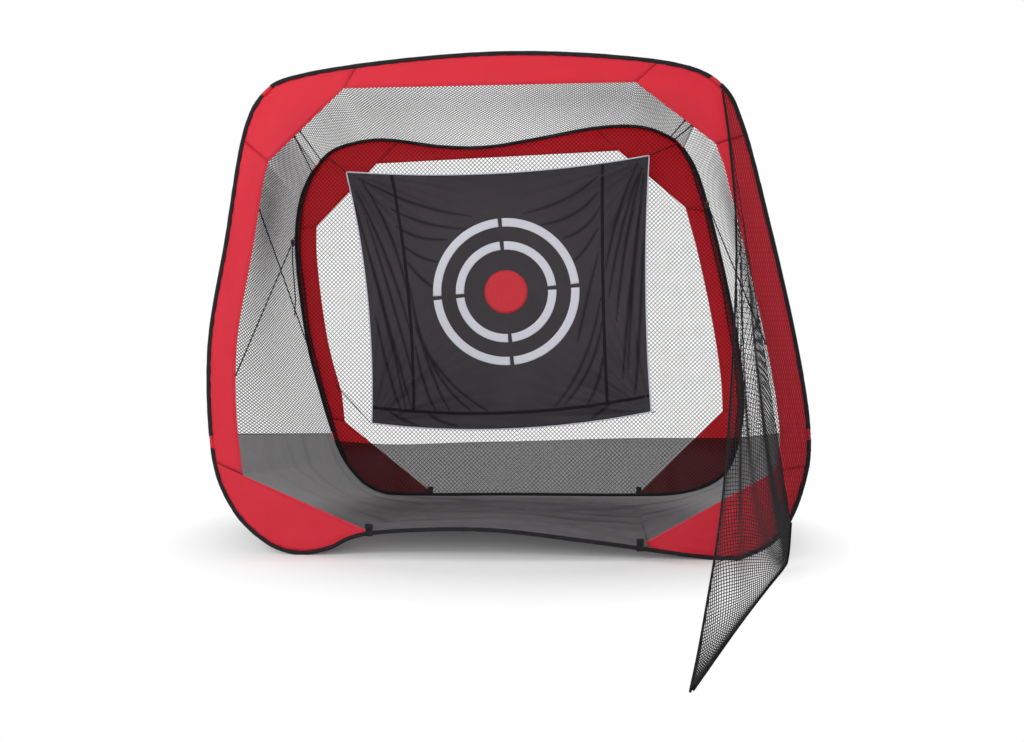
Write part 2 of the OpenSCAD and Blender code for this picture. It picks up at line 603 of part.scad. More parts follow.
// The free edge falls from the top of the hoop and runs out to the peg; shares of reach and height.
free_edge = [wing_top, [0.3725 * hoop_w, -0.028 * wing_reach, 0.8 * hoop_h],
    [0.381 * hoop_w, -0.056 * wing_reach, 0.627 * hoop_h], [0.3625 * hoop_w, -0.188 * wing_reach, 0.3635 * hoop_h],
    [0.3255 * hoop_w, -0.444 * wing_reach, 0.167 * hoop_h], [0.272 * hoop_w, -0.8 * wing_reach, 0.0455 * hoop_h],
    wing_tip];
hem = [wing_foot, [0.465 * hoop_w, -0.07 * wing_reach, 0.021 * hoop_h],
    [0.4475 * hoop_w, -0.126 * wing_reach, ground_line], [0.345 * hoop_w, -0.55 * wing_reach, ground_line],
    wing_tip];
wing_rows = 9;
wing_cols = 8;
wing_start = 0.05;
pleat = 14;        // depth of the pleats where the net is gathered

wing_grid = [for (j = [0 : wing_rows]) [for (i = [0 : wing_cols])
    let (u = lerp(wing_start, 1, j / wing_rows), v = i / wing_cols * 0.985,
         high = lerp(wing_top, wing_foot, u), out = smooth(free_edge, u),
         low = smooth(hem, v) - [(1 - v) * (wing_cord_d / 2 + 2 * net_t), 0, 0],
         plain = lerp(lerp(high, out, v), low, pow(u, 6)),
         fold = pleat * sin(180 * v) * sin(180 * u) * cos(720 * v))
    [plain.x - fold, plain.y, max(plain.z, ground_line + wing_cord_d / 2 + net_t / 2 + touch)]]];

// The gore covers the border between the fold of the wing and the hoop.
gore_stations = stations(3.4, 8.3);
function gore_outline(rim) = concat([for (s = gore_stations) inside_at(front_hoop, s, 2 + rim)],
    [[wing_foot.x + rim, wing_foot.z], [wing_top.x + rim, wing_top.z]]);
gore_pitch = 70;

// ---- the pieces ----

module front_wire() { hoop_wire(front_hoop); }
module front_ferrule() { hoop_ferrule(front_hoop); }
module front_sleeve_top() { hoop_sleeve(front_hoop, front_gaps, 0); }
module front_sleeve_right() { hoop_sleeve(front_hoop, front_gaps, 1); }
module front_sleeve_bottom() { hoop_sleeve(front_hoop, front_gaps, 2); }
module front_sleeve_left() { hoop_sleeve(front_hoop, front_gaps, 3); }
module front_corner_wraps() { hoop_wraps(front_hoop, front_gaps); }
module front_band_top() { front_border(0); }
module front_gusset_top_right() { front_border(1); }
module front_band_right() { front_border(2); }
module front_gusset_bottom_right() { front_border(3); }
module front_gusset_bottom_left() { front_border(5); }
module front_band_left() { front_border(6); }
module front_gusset_top_left() { front_border(7); }
module front_peg_loops() { for (s = front_loop_s) peg_loop(front_hoop, s, -1); }
module front_cord_tabs() {
    color(black) for (s = concat(brace_high_s, brace_low_s, [for (pair = corner_cord_s) for (s = pair) s]))
        cord_tab(s);
}

module rear_wire() { hoop_wire(rear_hoop); }
module rear_ferrule() { hoop_ferrule(rear_hoop); }
module rear_sleeve_top() { hoop_sleeve(rear_hoop, rear_gaps, 0); }
module rear_sleeve_right() { hoop_sleeve(rear_hoop, rear_gaps, 1); }
module rear_sleeve_bottom() { hoop_sleeve(rear_hoop, rear_gaps, 2); }
module rear_sleeve_left() { hoop_sleeve(rear_hoop, rear_gaps, 3); }
module rear_corner_wraps() { hoop_wraps(rear_hoop, rear_gaps); }
module rear_band_top() { rear_border(0); }
module rear_gusset_top_right() { rear_border(1); }
module rear_band_right() { rear_border(2); }
module rear_gusset_bottom_right() { rear_border(3); }
module rear_gusset_bottom_left() { rear_border(5); }
module rear_band_left() { rear_border(6); }
module rear_gusset_top_left() { rear_border(7); }
module rear_peg_loops() { for (s = rear_loop_s) peg_loop(rear_hoop, s, 1); }

module rear_net() {
    color(black) flat(rear_net_y, net_t) difference() {
        polygon(rear_inside(sleeve_w));
        intersection() {
            polygon(rear_inside(sleeve_w + 30));
            for (i = [-14 : 14]) for (j = [-14 : 14])
                if ((i + j) % 2 == 0)
                    translate([i * rear_pitch * sqrt(0.5), hoop_h / 2 + j * rear_pitch * sqrt(0.5)])
                        rotate(45) square(gap_side, center = true);
        }
    }
}

module rear_skirt() {
    color(mesh_grey) flat(rear_net_y - net_t, net_t) intersection() {
        polygon(rear_inside(sleeve_w));
        translate([-hoop_w, 0]) square([2 * hoop_w, skirt_h]);
    }
}

module roof_net() { color(black) netting(roof_grid, net_t, strand_w); }
module left_net() { color(black) netting(left_grid, net_t, strand_w); }
module right_net() { color(black) netting(right_grid, net_t, strand_w); }
module mesh_floor() { color(mesh_grey) sheet(floor_grid, net_t); }

module corner_cords() { color(black) for (c = corner_ties) tied_cord(c[0], c[1]); }
module left_brace_high() { color(black) tied_cord(brace_high[0][0], brace_high[0][1]); }
module right_brace_high() { color(black) tied_cord(brace_high[1][0], brace_high[1][1]); }
module left_brace_low() { color(black) tied_cord(brace_low[0][0], brace_low[0][1]); }
module right_brace_low() { color(black) tied_cord(brace_low[1][0], brace_low[1][1]); }

module target_sheet() { color(sheet_grey) sheet(target_grid, net_t); }

module target_piping() {
    color(pale) skin([for (k = [0 : len(target_edge) - 1])
        let (p = target_edge[k], near = p + edge_out(k) * touch, far = p + edge_out(k) * piping_w, half = [0, 3, 0])
        [near + half, far + half, far - half, near - half]], closed = true);
}

module target_tapes() {
    color(black) {
        for (c = tape_columns)
            skin([for (j = [0 : tape_row]) tape_ring(target_grid[j][c], target_grid[j][c - 1], target_grid[j][c + 1])]);
        skin([for (i = [0 : target_cols])
            let (t = tape_ring(target_grid[tape_row][i], target_grid[tape_row + 1][i], target_grid[tape_row - 1][i]))
            [for (p = t) p - [0, 1.2 + touch, 0]]]);
    }
}

// Four quarters of a ring, with gaps that turn with the sheet.
module quarter_ring(r) {
    difference() {
        circle(r = r + ring_w, $fn = 96);
        circle(r = r, $fn = 96);
        rotate(target_turn) square([3 * r, ring_gap], center = true);
        rotate(target_turn) square([ring_gap, 3 * r], center = true);
    }
}

module target_rings() {
    color(pale) flat(target_y - net_t / 2 - 1.5, 1.5) translate(bull) {
        quarter_ring(ring_1_r);
        quarter_ring(ring_2_r);
    }
}

module target_bullseye() {
    color(red) flat(target_y - net_t / 2 - 1.5, 1.5) translate(bull) circle(r = bull_r, $fn = 96);
}

module target_ties() { color(black) for (k = [0 : 3]) tied_cord(tie_end(k), tie_points[k]); }

module wing_gore() {
    color(black) flat(-sleeve_t / 2 - net_t, net_t) difference() {
        polygon(gore_outline(0));
        for (i = [0 : 6]) for (j = [2 : 26])
            if ((i + j) % 2 == 0)
                intersection() {
                    polygon(gore_outline(strand_w));
                    translate([wing_top.x + i * gore_pitch * sqrt(0.5), j * gore_pitch * sqrt(0.5)])
                        rotate(45) square(gore_pitch - strand_w, center = true);
                }
    }
}

module wing_net() { color(black) netting(wing_grid, net_t, strand_w); }
module wing_edge_cord() {
    color(black) cord_run([for (k = [0 : 24]) smooth(free_edge, lerp(0.02, 0.995, k / 24)) - [wing_cord_d / 2 + net_t, 0, 0]],
        [for (k = [0 : 24]) wing_cord_d / 2], 6);
}
module wing_hem_cord() {
    color(black) cord_run([for (k = [0 : 20]) let (p = smooth(hem, k / 20 * 0.985)) [p.x, p.y, max(p.z, ground_line)]], [for (k = [0 : 20]) wing_cord_d / 2], 6);
}

module left_lock_barrel() { at_lock(0) lock_barrel(); }
module left_lock_plunger() { at_lock(0) lock_plunger(); }
module left_lock_spring() { at_lock(0) lock_spring(); }
module right_lock_barrel() { at_lock(1) lock_barrel(); }
module right_lock_plunger() { at_lock(1) lock_plunger(); }
module right_lock_spring() { at_lock(1) lock_spring(); }
module left_cord_tail() {
    color(black) cord_run([for (k = [0 : tail_rings]) tail_start + smooth(tail_route, k / tail_rings)],
        [for (k = [0 : tail_rings]) tail_radius(k / tail_rings)], tube_sides);
}

// ---- what is drawn ----

front_wire();
front_ferrule();
front_sleeve_top();
front_sleeve_right();
front_sleeve_bottom();
front_sleeve_left();
front_corner_wraps();
front_band_top();
front_band_right();
front_band_left();
front_gusset_top_left();
front_gusset_top_right();
front_gusset_bottom_left();
front_gusset_bottom_right();
front_peg_loops();
front_cord_tabs();
rear_wire();
rear_ferrule();
rear_sleeve_top();
rear_sleeve_right();
rear_sleeve_bottom();
rear_sleeve_left();
rear_corner_wraps();
rear_band_top();
rear_band_right();
rear_band_left();
rear_gusset_top_left();
rear_gusset_top_right();
rear_gusset_bottom_left();
rear_gusset_bottom_right();
rear_peg_loops();
rear_net();
rear_skirt();
roof_net();
left_net();
right_net();
mesh_floor();
corner_cords();
left_brace_high();
right_brace_high();
left_brace_low();
right_brace_low();
target_sheet();
target_piping();
target_tapes();
target_rings();
target_bullseye();
target_ties();
wing_gore();
wing_net();
wing_edge_cord();
wing_hem_cord();
left_lock_barrel();
left_lock_plunger();
left_lock_spring();
left_cord_tail();
right_lock_barrel();
right_lock_plunger();
right_lock_spring();
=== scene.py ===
# A pop-up golf chipping net: two sprung hoops bound with red cloth, knotted netting between
# them, a mesh floor that gathers the balls, a hung bullseye sheet, and a pegged wing of netting.
import json
import math

import bpy
import numpy as np
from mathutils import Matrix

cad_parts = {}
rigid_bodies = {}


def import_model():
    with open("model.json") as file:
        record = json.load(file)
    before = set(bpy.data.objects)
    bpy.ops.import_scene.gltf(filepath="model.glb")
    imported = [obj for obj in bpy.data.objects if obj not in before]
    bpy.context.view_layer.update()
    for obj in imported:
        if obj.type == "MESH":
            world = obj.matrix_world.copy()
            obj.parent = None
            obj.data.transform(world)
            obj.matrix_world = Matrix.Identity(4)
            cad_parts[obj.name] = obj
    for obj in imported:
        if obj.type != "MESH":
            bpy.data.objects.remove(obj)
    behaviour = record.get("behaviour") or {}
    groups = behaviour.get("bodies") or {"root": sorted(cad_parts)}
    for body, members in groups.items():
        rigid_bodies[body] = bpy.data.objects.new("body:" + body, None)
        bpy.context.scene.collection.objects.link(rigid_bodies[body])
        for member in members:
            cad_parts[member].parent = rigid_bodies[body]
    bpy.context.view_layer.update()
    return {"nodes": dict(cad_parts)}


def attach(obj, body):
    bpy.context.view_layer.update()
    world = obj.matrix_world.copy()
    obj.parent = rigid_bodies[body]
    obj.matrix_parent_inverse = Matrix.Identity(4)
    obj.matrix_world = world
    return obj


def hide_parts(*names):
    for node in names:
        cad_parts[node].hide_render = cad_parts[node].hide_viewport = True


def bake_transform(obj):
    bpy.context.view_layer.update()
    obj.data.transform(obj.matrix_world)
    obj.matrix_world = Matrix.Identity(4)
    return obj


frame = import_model()
bpy.ops.object.select_all(action="DESELECT")
for stray in list(bpy.data.objects):
    if stray.name in ("Cube", "Light", "Camera"):
        bpy.data.objects.remove(stray)


# ---- The viewpoint ----
# A camera at chest height in front of the net, a little to the right of its middle, turned
# slightly to the left and down.
camera_data = bpy.data.cameras.new("viewpoint")
camera_data.sensor_width = 36
camera_data.lens = 34.31
camera = bpy.data.objects.new("viewpoint", camera_data)
bpy.context.scene.collection.objects.link(camera)
camera.location = (0.272, -3.86, 0.909)
camera.rotation_euler = (math.radians(90 - 2.405), 0, math.radians(3.284))
bpy.context.scene.camera = camera


# ---- The run of the two hoops ----
# Each hoop is one springy steel wire, joined end to end. The tension of the cloth and netting
# pulls it into a rounded square with a wavy top or bottom. Points are shares of width and height.
HOOP_W, HOOP_H, DEPTH = 2.4, 2.0, 1.42
SLEEVE_W, SLEEVE_T = 0.018, 0.013
BAND_W = 0.102
front_points = np.array([
    (0, 1), (0.165, 0.992), (0.3, 0.969), (0.365, 0.927), (0.396, 0.855), (0.428, 0.72),
    (0.484, 0.44), (0.509, 0.245), (0.4965, 0.134), (0.464, 0.051), (0.415, 0.01), (0.355, 0),
    (0.156, 0.029), (-0.03, 0.051), (-0.218, 0.041), (-0.29, 0.009), (-0.345, 0), (-0.4, 0.025),
    (-0.455, 0.093), (-0.488, 0.205), (-0.492, 0.42), (-0.46, 0.637), (-0.428, 0.845),
    (-0.39, 0.93), (-0.33, 0.962), (-0.18, 0.987)]) * (HOOP_W, HOOP_H)
rear_points = np.array([
    (0.033, 0.969), (0.173, 0.998), (0.268, 1), (0.332, 0.975), (0.3725, 0.9345),
    (0.41, 0.8445), (0.457, 0.637), (0.495, 0.41), (0.5075, 0.25), (0.489, 0.118), (0.452, 0.05),
    (0.37, 0.012), (0.25, 0.004), (0, 0.003), (-0.25, 0), (-0.325, 0.012), (-0.375, 0.056),
    (-0.415, 0.132), (-0.453, 0.275), (-0.486, 0.434), (-0.508, 0.66), (-0.501, 0.789),
    (-0.475, 0.873), (-0.432, 0.935), (-0.38, 0.962), (-0.3, 0.973), (-0.17, 0.953),
    (-0.07, 0.951)]) * (HOOP_W, HOOP_H)


class Hoop:
    """A hoop's outline, its place in depth, and the border that is sewn inside it.

    A station counts along the outline's points. The gaps are the bare corners, each with its
    middle and half its length. The seams and corners are the ends of the border's eight stretches.
    """

    def __init__(self, points, y, gaps, seams, corners):
        self.points, self.y, self.gaps, self.seams = points, y, gaps, seams
        self.corners = np.array(corners) * (HOOP_W, HOOP_H)

    def edge(self, s):
        """The outer edge at stations s, in the hoop's plane."""
        p, n = self.points, len(self.points)
        s = np.mod(np.asarray(s, float), n)
        i = np.floor(s).astype(int)
        t = (s - i)[..., None]
        a, b, c, d = (p[(i + k) % n] for k in (-1, 0, 1, 2))
        q = 0.5 * (2 * b + (c - a) * t + (2 * a - 5 * b + 4 * c - d) * t ** 2
                   + (3 * b - a - 3 * c + d) * t ** 3)
        q[..., 1] = np.maximum(q[..., 1], 0)
        return q

    def inward(self, s):
        """Directions from the outer edge towards the hoop's inside."""
        s = np.asarray(s, float)
        d = self.edge(s + 0.05) - self.edge(s - 0.05)
        d /= np.linalg.norm(d, axis=-1, keepdims=True)
        return np.stack([d[..., 1], -d[..., 0]], -1)

    def inside(self, s, depth):
        """Points of the hoop's plane, that deep inside its outer edge."""
        return self.edge(s) + self.inward(s) * np.asarray(depth)[..., None]

    def border(self, s):
        """The inner edge of the border at stations s."""
        n, seams, corners = len(self.points), self.seams, self.corners
        out = []
        for w in np.mod(np.atleast_1d(s), n):
            wrapped = w >= seams[0] or w < seams[1]
            k = 0 if wrapped else max(i for i in range(1, 8) if w >= seams[i])
            start = seams[0] - n if k == 0 else seams[k]
            end = seams[1] if k == 0 else (seams[0] if k == 7 else seams[k + 1])
            v = ((w - n if k == 0 and w >= seams[0] else w) - start) / (end - start)
            if k in (0, 1, 3, 5, 7):
                out.append(corners[k] * (1 - v) + corners[(k + 1) % 8] * v)
            elif k in (2, 6):
                ease = 0.12
                if v < ease:
                    near = self.inside(start + ease * (end - start), SLEEVE_W + BAND_W)
                    out.append(corners[k] * (1 - v / ease) + near * v / ease)
                elif v > 1 - ease:
                    near = self.inside(end - ease * (end - start), SLEEVE_W + BAND_W)
                    f = (v - 1 + ease) / ease
                    out.append(near * (1 - f) + corners[k + 1] * f)
                else:
                    out.append(self.inside(w, SLEEVE_W + BAND_W))
            else:
                out.append(self.inside(w, SLEEVE_W))
        return np.array(out)


front = Hoop(front_points, 0.0,
             [(2.75, 0.16), (6.96, 0.07), (19.13, 0.065), (23.05, 0.16)],
             [24.66, 1.63, 4.2, 7.45, 11.55, 14, 18.87, 21.92],
             [(-0.257, 0.932), (0.2217, 0.936), (0.351, 0.816), (0.451, 0.177),
              (0.242, 0.034), (-0.22, 0.05), (-0.434, 0.161), (-0.384, 0.79)])
rear = Hoop(rear_points, DEPTH,
            [(3.7, 0.22), (8.57, 0.1), (17.25, 0.09), (22.4, 0.17)],
            [25.25, 1, 5.4, 8.05, 11.8, 13.79, 17.58, 20.47],
            [(-0.319, 0.905), (0.2246, 0.933), (0.373, 0.781), (0.459, 0.236),
             (0.2754, 0.014), (-0.197, 0.011), (-0.396, 0.2035), (-0.458, 0.7365)])


# ---- The binding of the hoops ----
# A black webbing tape is folded round the wire and sewn shut along its inner side, so it makes
# a slim flattened tube with a row of stitches. It stops short at the four corners.
def run_along(line):
    """How far along a line of points each of them lies."""
    return np.concatenate([[0], np.cumsum(np.linalg.norm(np.diff(line, axis=0), axis=1))])


def paired(along, across):
    """UVs from distances along the rows and across the columns."""
    return np.stack(np.broadcast_arrays(along, across), -1)


def unit(v):
    return v / np.maximum(np.linalg.norm(v, axis=-1, keepdims=True), 1e-9)


def new_piece(name, points, faces):
    """A smooth mesh object from points and faces."""
    mesh = bpy.data.meshes.new(name)
    mesh.from_pydata(points.tolist(), [], faces.tolist())
    mesh.polygons.foreach_set("use_smooth", np.ones(len(faces), bool))
    mesh.update()
    piece = bpy.data.objects.new(name, mesh)
    bpy.context.scene.collection.objects.link(piece)
    return piece


def cloth_from_grid(name, grid, uv, close_across=False, close_along=False):
    """A smooth mesh over a grid of points (rows, columns, xyz), with its UV map in metres."""
    rows, cols = grid.shape[:2]
    j, i = np.meshgrid(np.arange(rows - (not close_along)), np.arange(cols - (not close_across)),
                       indexing="ij")
    j1, i1 = (j + 1) % rows, (i + 1) % cols
    around = (j * cols + i, j * cols + i1, j1 * cols + i1, j1 * cols + i)
    faces = np.stack(around, -1).reshape(-1, 4)
    piece = new_piece(name, grid.reshape(-1, 3), faces)
    flat = uv.reshape(-1, 2)
    corner_uv = flat[faces].copy()
    if close_across:
        wrap = i1.reshape(-1) == 0
        corner_uv[wrap, 1:3, 1] += flat[:, 1].max() + (flat[1, 1] - flat[0, 1])
    if close_along:
        wrap = j1.reshape(-1) == 0
        corner_uv[wrap, 2:4, 0] += flat[:, 0].max() + (uv[1, 0, 0] - uv[0, 0, 0])
    layer = piece.data.uv_layers.new(name="sewn")
    layer.data.foreach_set("uv", corner_uv.reshape(-1).astype(np.float32))
    return piece


def linear(red, green, blue):
    """A colour given in 0 to 255 as it shows on a screen, for a shader."""
    return [((c / 255 + 0.055) / 1.055) ** 2.4 if c > 10.31 else c / 255 / 12.92
            for c in (red, green, blue)] + [1]


def shader(name):
    """A new material, its node tree and its main shader."""
    material = bpy.data.materials.new(name)
    material.use_nodes = True
    tree = material.node_tree
    return material, tree, tree.nodes["Principled BSDF"]


def node(tree, kind, settings=None, **inputs):
    """A new node: its inputs are given by name, with _ for a space, or by place as i0, i1, ..."""
    added = tree.nodes.new(kind)
    for key, value in (settings or {}).items():
        setattr(added, key, value)
    for key, value in inputs.items():
        by_place = key[0] == "i" and key[1:].isdigit()
        socket = added.inputs[int(key[1:]) if by_place else key.replace("_", " ")]
        if isinstance(value, bpy.types.NodeSocket):
            tree.links.new(value, socket)
        else:
            socket.default_value = value
    return added


def sums(tree, operation, a, b=0.0, c=0.0):
    return node(tree, "ShaderNodeMath", {"operation": operation}, i0=a, i1=b, i2=c).outputs[0]


def noise(tree, place, scale, detail):
    return node(tree, "ShaderNodeTexNoise", i0=place, Scale=scale, Detail=detail).outputs[0]


def mix(tree, factor, first, second):
    """A colour between two others, each given in 0 to 255 or made by nodes."""
    ends = [c if isinstance(c, bpy.types.NodeSocket) else linear(*c) for c in (first, second)]
    return node(tree, "ShaderNodeMix", {"data_type": "RGBA"}, i0=factor, i6=ends[0],
                i7=ends[1]).outputs[2]


def sewn_uv(tree):
    return node(tree, "ShaderNodeUVMap", {"uv_map": "sewn"}).outputs[0]


def object_place(tree):
    return node(tree, "ShaderNodeTexCoord").outputs["Object"]


def coloured(tree, skin, colour):
    tree.links.new(colour, skin.inputs["Base Color"])


def raised(tree, skin, height, strength, distance):
    """A relief in the surface, from a height that changes over it."""
    bump = node(tree, "ShaderNodeBump", Height=height, Strength=strength, Distance=distance)
    tree.links.new(bump.outputs[0], skin.inputs["Normal"])


def matt(skin, roughness, gloss):
    skin.inputs["Roughness"].default_value = roughness
    skin.inputs["Specular IOR Level"].default_value = gloss


def plain_weave():
    """Threads over and under each other, with some fuzz, as a height for a bump."""
    group = bpy.data.node_groups.new("plain weave", "ShaderNodeTree")
    face = group.interface
    face.new_socket("Vector", in_out="INPUT", socket_type="NodeSocketVector")
    face.new_socket("Threads per metre", in_out="INPUT", socket_type="NodeSocketFloat")
    face.new_socket("Height", in_out="OUTPUT", socket_type="NodeSocketFloat")
    start, end = group.nodes.new("NodeGroupInput"), group.nodes.new("NodeGroupOutput")
    xyz = node(group, "ShaderNodeSeparateXYZ", i0=start.outputs[0])
    turns = sums(group, "MULTIPLY", start.outputs[1], math.pi)
    waves = [sums(group, "SINE", sums(group, "MULTIPLY", xyz.outputs[c], turns)) for c in (0, 1)]
    over = sums(group, "ABSOLUTE", sums(group, "MULTIPLY", *waves))
    fuzz = noise(group, start.outputs[0], 700.0, 2.0)
    height = sums(group, "ADD", over, sums(group, "MULTIPLY", fuzz, 0.5))
    group.links.new(height, end.inputs[0])
    return group


weave_group = plain_weave()


def weave(tree, vector, per_metre):
    """The height of a weave with that many threads to the metre."""
    placed = tree.nodes.new("ShaderNodeGroup")
    placed.node_tree = weave_group
    tree.links.new(vector, placed.inputs[0])
    placed.inputs[1].default_value = per_metre
    return placed.outputs[0]


THREAD_W = 0.0014


def stitches(tree, xyz, depth, pitch, gap):
    """A row of stitches at a depth across the cloth, one to each pitch, apart by a share gap."""
    dash = sums(tree, "GREATER_THAN", sums(tree, "FRACT", sums(tree, "DIVIDE", xyz.outputs[0], pitch)), gap)
    off = sums(tree, "ABSOLUTE", sums(tree, "SUBTRACT", xyz.outputs[1], depth))
    return sums(tree, "MULTIPLY", dash, sums(tree, "LESS_THAN", off, THREAD_W / 2))


def binding_material():
    material, tree, skin = shader("black binding tape")
    uv = sewn_uv(tree)
    xyz = node(tree, "ShaderNodeSeparateXYZ", i0=uv)
    soft = noise(tree, uv, 35.0, 3.0)
    stitch = stitches(tree, xyz, 0.024, 0.006, 0.35)
    shade = mix(tree, soft, (20, 19, 22), (42, 40, 45))
    coloured(tree, skin, mix(tree, stitch, shade, (74, 74, 80)))
    rib = sums(tree, "ADD", weave(tree, uv, 900), sums(tree, "MULTIPLY", stitch, 2.0))
    raised(tree, skin, sums(tree, "ADD", rib, sums(tree, "MULTIPLY", soft, 4.0)), 0.6, 0.0006)
    matt(skin, 0.8, 0.2)
    return material


binding_tape = binding_material()


def hoop_tube(name, hoop, s0, s1, half_w, half_t, ripple, per_station=14):
    """A flattened tube round the wire, from one station to another."""
    s = np.linspace(s0, s1, max(4, int((s1 - s0) * per_station)))
    turn = np.linspace(0, 2 * math.pi, 16, endpoint=False)
    line, normal = hoop.inside(s, SLEEVE_W / 2), hoop.inward(s)
    run = run_along(line)
    pucker = 1 + ripple * (np.sin(run * 260)[:, None] * np.cos(2 * turn + run[:, None] * 9)
                           + 0.7 * np.sin(run * 71 + 1.3)[:, None])
    u = half_w * pucker * np.cos(turn)
    w = half_t * pucker * np.sign(np.sin(turn)) * np.abs(np.sin(turn)) ** 0.8
    x, z = (line[:, None, c] + u * normal[:, None, c] for c in (0, 1))
    grid = np.stack([x, hoop.y + w, np.maximum(z, 0.0003)], -1)
    girth = math.pi * (half_w + half_t)
    uv = paired(run[:, None], turn / (2 * math.pi) * girth)
    return cloth_from_grid(name, grid, uv, close_across=True)


SIDES = ("top", "right", "bottom", "left")
for place, hoop in (("front", front), ("rear", rear)):
    n = len(hoop.points)
    for k, side in enumerate(SIDES):
        before, after = hoop.gaps[(k + 3) % 4], hoop.gaps[k]
        tube = hoop_tube(f"{place}_binding_{side}", hoop,
                         before[0] + before[1] - (n if k == 0 else 0), after[0] - after[1],
                         SLEEVE_W / 2 - 0.0005, SLEEVE_T / 2 - 0.0005, 0.045)
        tube.data.materials.append(binding_tape)
        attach(tube, f"{place}_frame")
        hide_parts(f"{place}_sleeve_{side}")


# ---- The border cloth ----
# Red polyester, cut as bands and corner gussets, seamed to each other and hemmed along the inner
# edge. The hoop's curve leaves it slightly puckered along the binding.
def shell_cloth(name, colour, pale):
    """Red woven polyester with hem and seam stitches, from UVs in metres."""
    material, tree, skin = shader(name)
    uv, place = sewn_uv(tree), object_place(tree)
    xyz = node(tree, "ShaderNodeSeparateXYZ", i0=uv)
    broad, fine = noise(tree, place, 3.2, 3.0), noise(tree, place, 900.0, 1.0)
    mottle = sums(tree, "MULTIPLY_ADD", fine, 0.35, sums(tree, "MULTIPLY", broad, 0.75))
    seam = sums(tree, "LESS_THAN", xyz.outputs[0], 0.0035)
    stitch = sums(tree, "MAXIMUM", stitches(tree, xyz, 0.011, 0.0045, 0.3), seam)
    fold = sums(tree, "LESS_THAN", xyz.outputs[1], 0.0125)
    thread = [0.62 * c for c in colour]
    coloured(tree, skin, mix(tree, stitch, mix(tree, mottle, colour, pale), thread))
    ridge = sums(tree, "MULTIPLY_ADD", fold, 1.5, sums(tree, "MULTIPLY", stitch, -1.5))
    raised(tree, skin, sums(tree, "ADD", weave(tree, uv, 1500), ridge), 0.5, 0.0004)
    matt(skin, 0.6, 0.25)
    skin.inputs["Subsurface Weight"].default_value = 0.95  # thin enough for light from behind
    skin.inputs["Subsurface Radius"].default_value = (1.0, 0.35, 0.35)
    skin.inputs["Subsurface Scale"].default_value = 0.004
    return material


BORDER_T = 0.0012
front_cloth = shell_cloth("front border cloth", (192, 30, 50), (206, 42, 62))
# The rear cloth is the same red as the front, painted brighter to make up for the shade it hangs in behind
# the nets.
rear_cloth_painted_brighter = shell_cloth("rear border cloth painted brighter", (212, 24, 44), (226, 32, 54))


def grid_area(grid):
    """The area of a sheet given as a grid of points."""
    down, across = grid[1:, :-1] - grid[:-1, :-1], grid[:-1, 1:] - grid[:-1, :-1]
    return float(np.linalg.norm(np.cross(down, across), axis=-1).sum())


def thicken(piece, thickness):
    """Gives a sheet the thickness of its cloth, half to each side."""
    bpy.context.view_layer.objects.active = piece
    piece.select_set(True)
    solid = piece.modifiers.new("cloth thickness", "SOLIDIFY")
    solid.thickness, solid.offset = thickness, 0
    bpy.ops.object.modifier_apply(modifier=solid.name)
    piece.select_set(False)


def border_cloth(name, hoop, k, face, seed):
    """One band or gusset, from the binding to its hemmed inner edge, and its area."""
    s0 = hoop.seams[0] - len(hoop.points) if k == 0 else hoop.seams[k]
    s1 = hoop.seams[(k + 1) % 8]
    s = np.linspace(s0, s1, 48 if k in (0, 2, 6) else 30)
    outer = hoop.inside(s, SLEEVE_W - 0.004)
    v = (s - s0) / (s1 - s0)
    a, b = hoop.corners[k], hoop.corners[(k + 1) % 8]
    straight = k in (0, 1, 3, 5, 7)
    inner = a + (b - a) * v[:, None] if straight else hoop.border(s[:-1].tolist() + [s1 - 1e-4])
    t = np.linspace(0, 1, 13)
    flat = outer[:, None] + (inner - outer)[:, None] * t[None, :, None]
    reach, run = np.linalg.norm(inner - outer, axis=1)[:, None], run_along(outer)[:, None]
    bulge = np.sin(math.pi * t)
    pucker = 0.0022 * np.exp(-reach * t / 0.035) * np.sin(run * 95 + seed)
    slack = 0.0035 * bulge * np.sin(run * 11 + 3 * t + seed) * np.minimum(1, reach / 0.1)
    slantwise = flat[..., 0] * math.cos(seed) + flat[..., 1] * math.sin(seed)
    pull = 0.0028 * bulge * np.sin(23 * slantwise)
    if name == "front_gusset_bottom_right_cloth":  # pleats fan out from its narrow end
        d = flat - hoop.corners[4]
        r, turned = np.linalg.norm(d, axis=-1), np.arctan2(d[..., 1], d[..., 0])
        pull = pull + (0.006 * np.sin(31 * turned + 1) * bulge ** 0.6
                       * np.clip(r / 0.12, 0, 1) * np.clip((0.8 - r) / 0.35, 0, 1))
    sewn_down = np.clip(np.minimum(v, 1 - v) / 0.07, 0, 1)[:, None]  # flat where it meets the next
    relief = (pucker + slack + pull * 0.6) * sewn_down
    if face > 0:  # the net behind lies against this cloth's front
        relief = 0.5 * relief + 0.0018
    grid = np.stack([flat[..., 0], hoop.y + face * 0.0002 + relief, flat[..., 1]], -1)
    cloth = cloth_from_grid(name, grid, paired(run, reach * (1 - t)))
    thicken(cloth, BORDER_T)
    return cloth, grid_area(grid)


BORDER = ("band_top", "gusset_top_right", "band_right", "gusset_bottom_right", None,
          "gusset_bottom_left", "band_left", "gusset_top_left")
for place, hoop, face, cloth_kind, slot in (("front", front, -1, front_cloth, "red_fabric"),
                                            ("rear", rear, 1, rear_cloth_painted_brighter, "shaded_red_fabric")):
    for k, part in enumerate(BORDER):
        if part is None:
            continue
        cloth, area = border_cloth(f"{place}_{part}_cloth", hoop, k, face, 1.7 * k + (0.9 if face > 0 else 0))
        cloth.data.materials.append(cloth_kind)
        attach(cloth, f"{place}_frame")
        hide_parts(f"{place}_{part}")
        low, high = np.array(cloth.bound_box).min(0), np.array(cloth.bound_box).max(0)
        wide, tall = high[0] - low[0], high[2] - low[2]
        while area < 0.31 * wide * tall:  # a slim slanting gusset leaves most of its box bare
            wide, tall = wide * 0.96, tall * 0.96


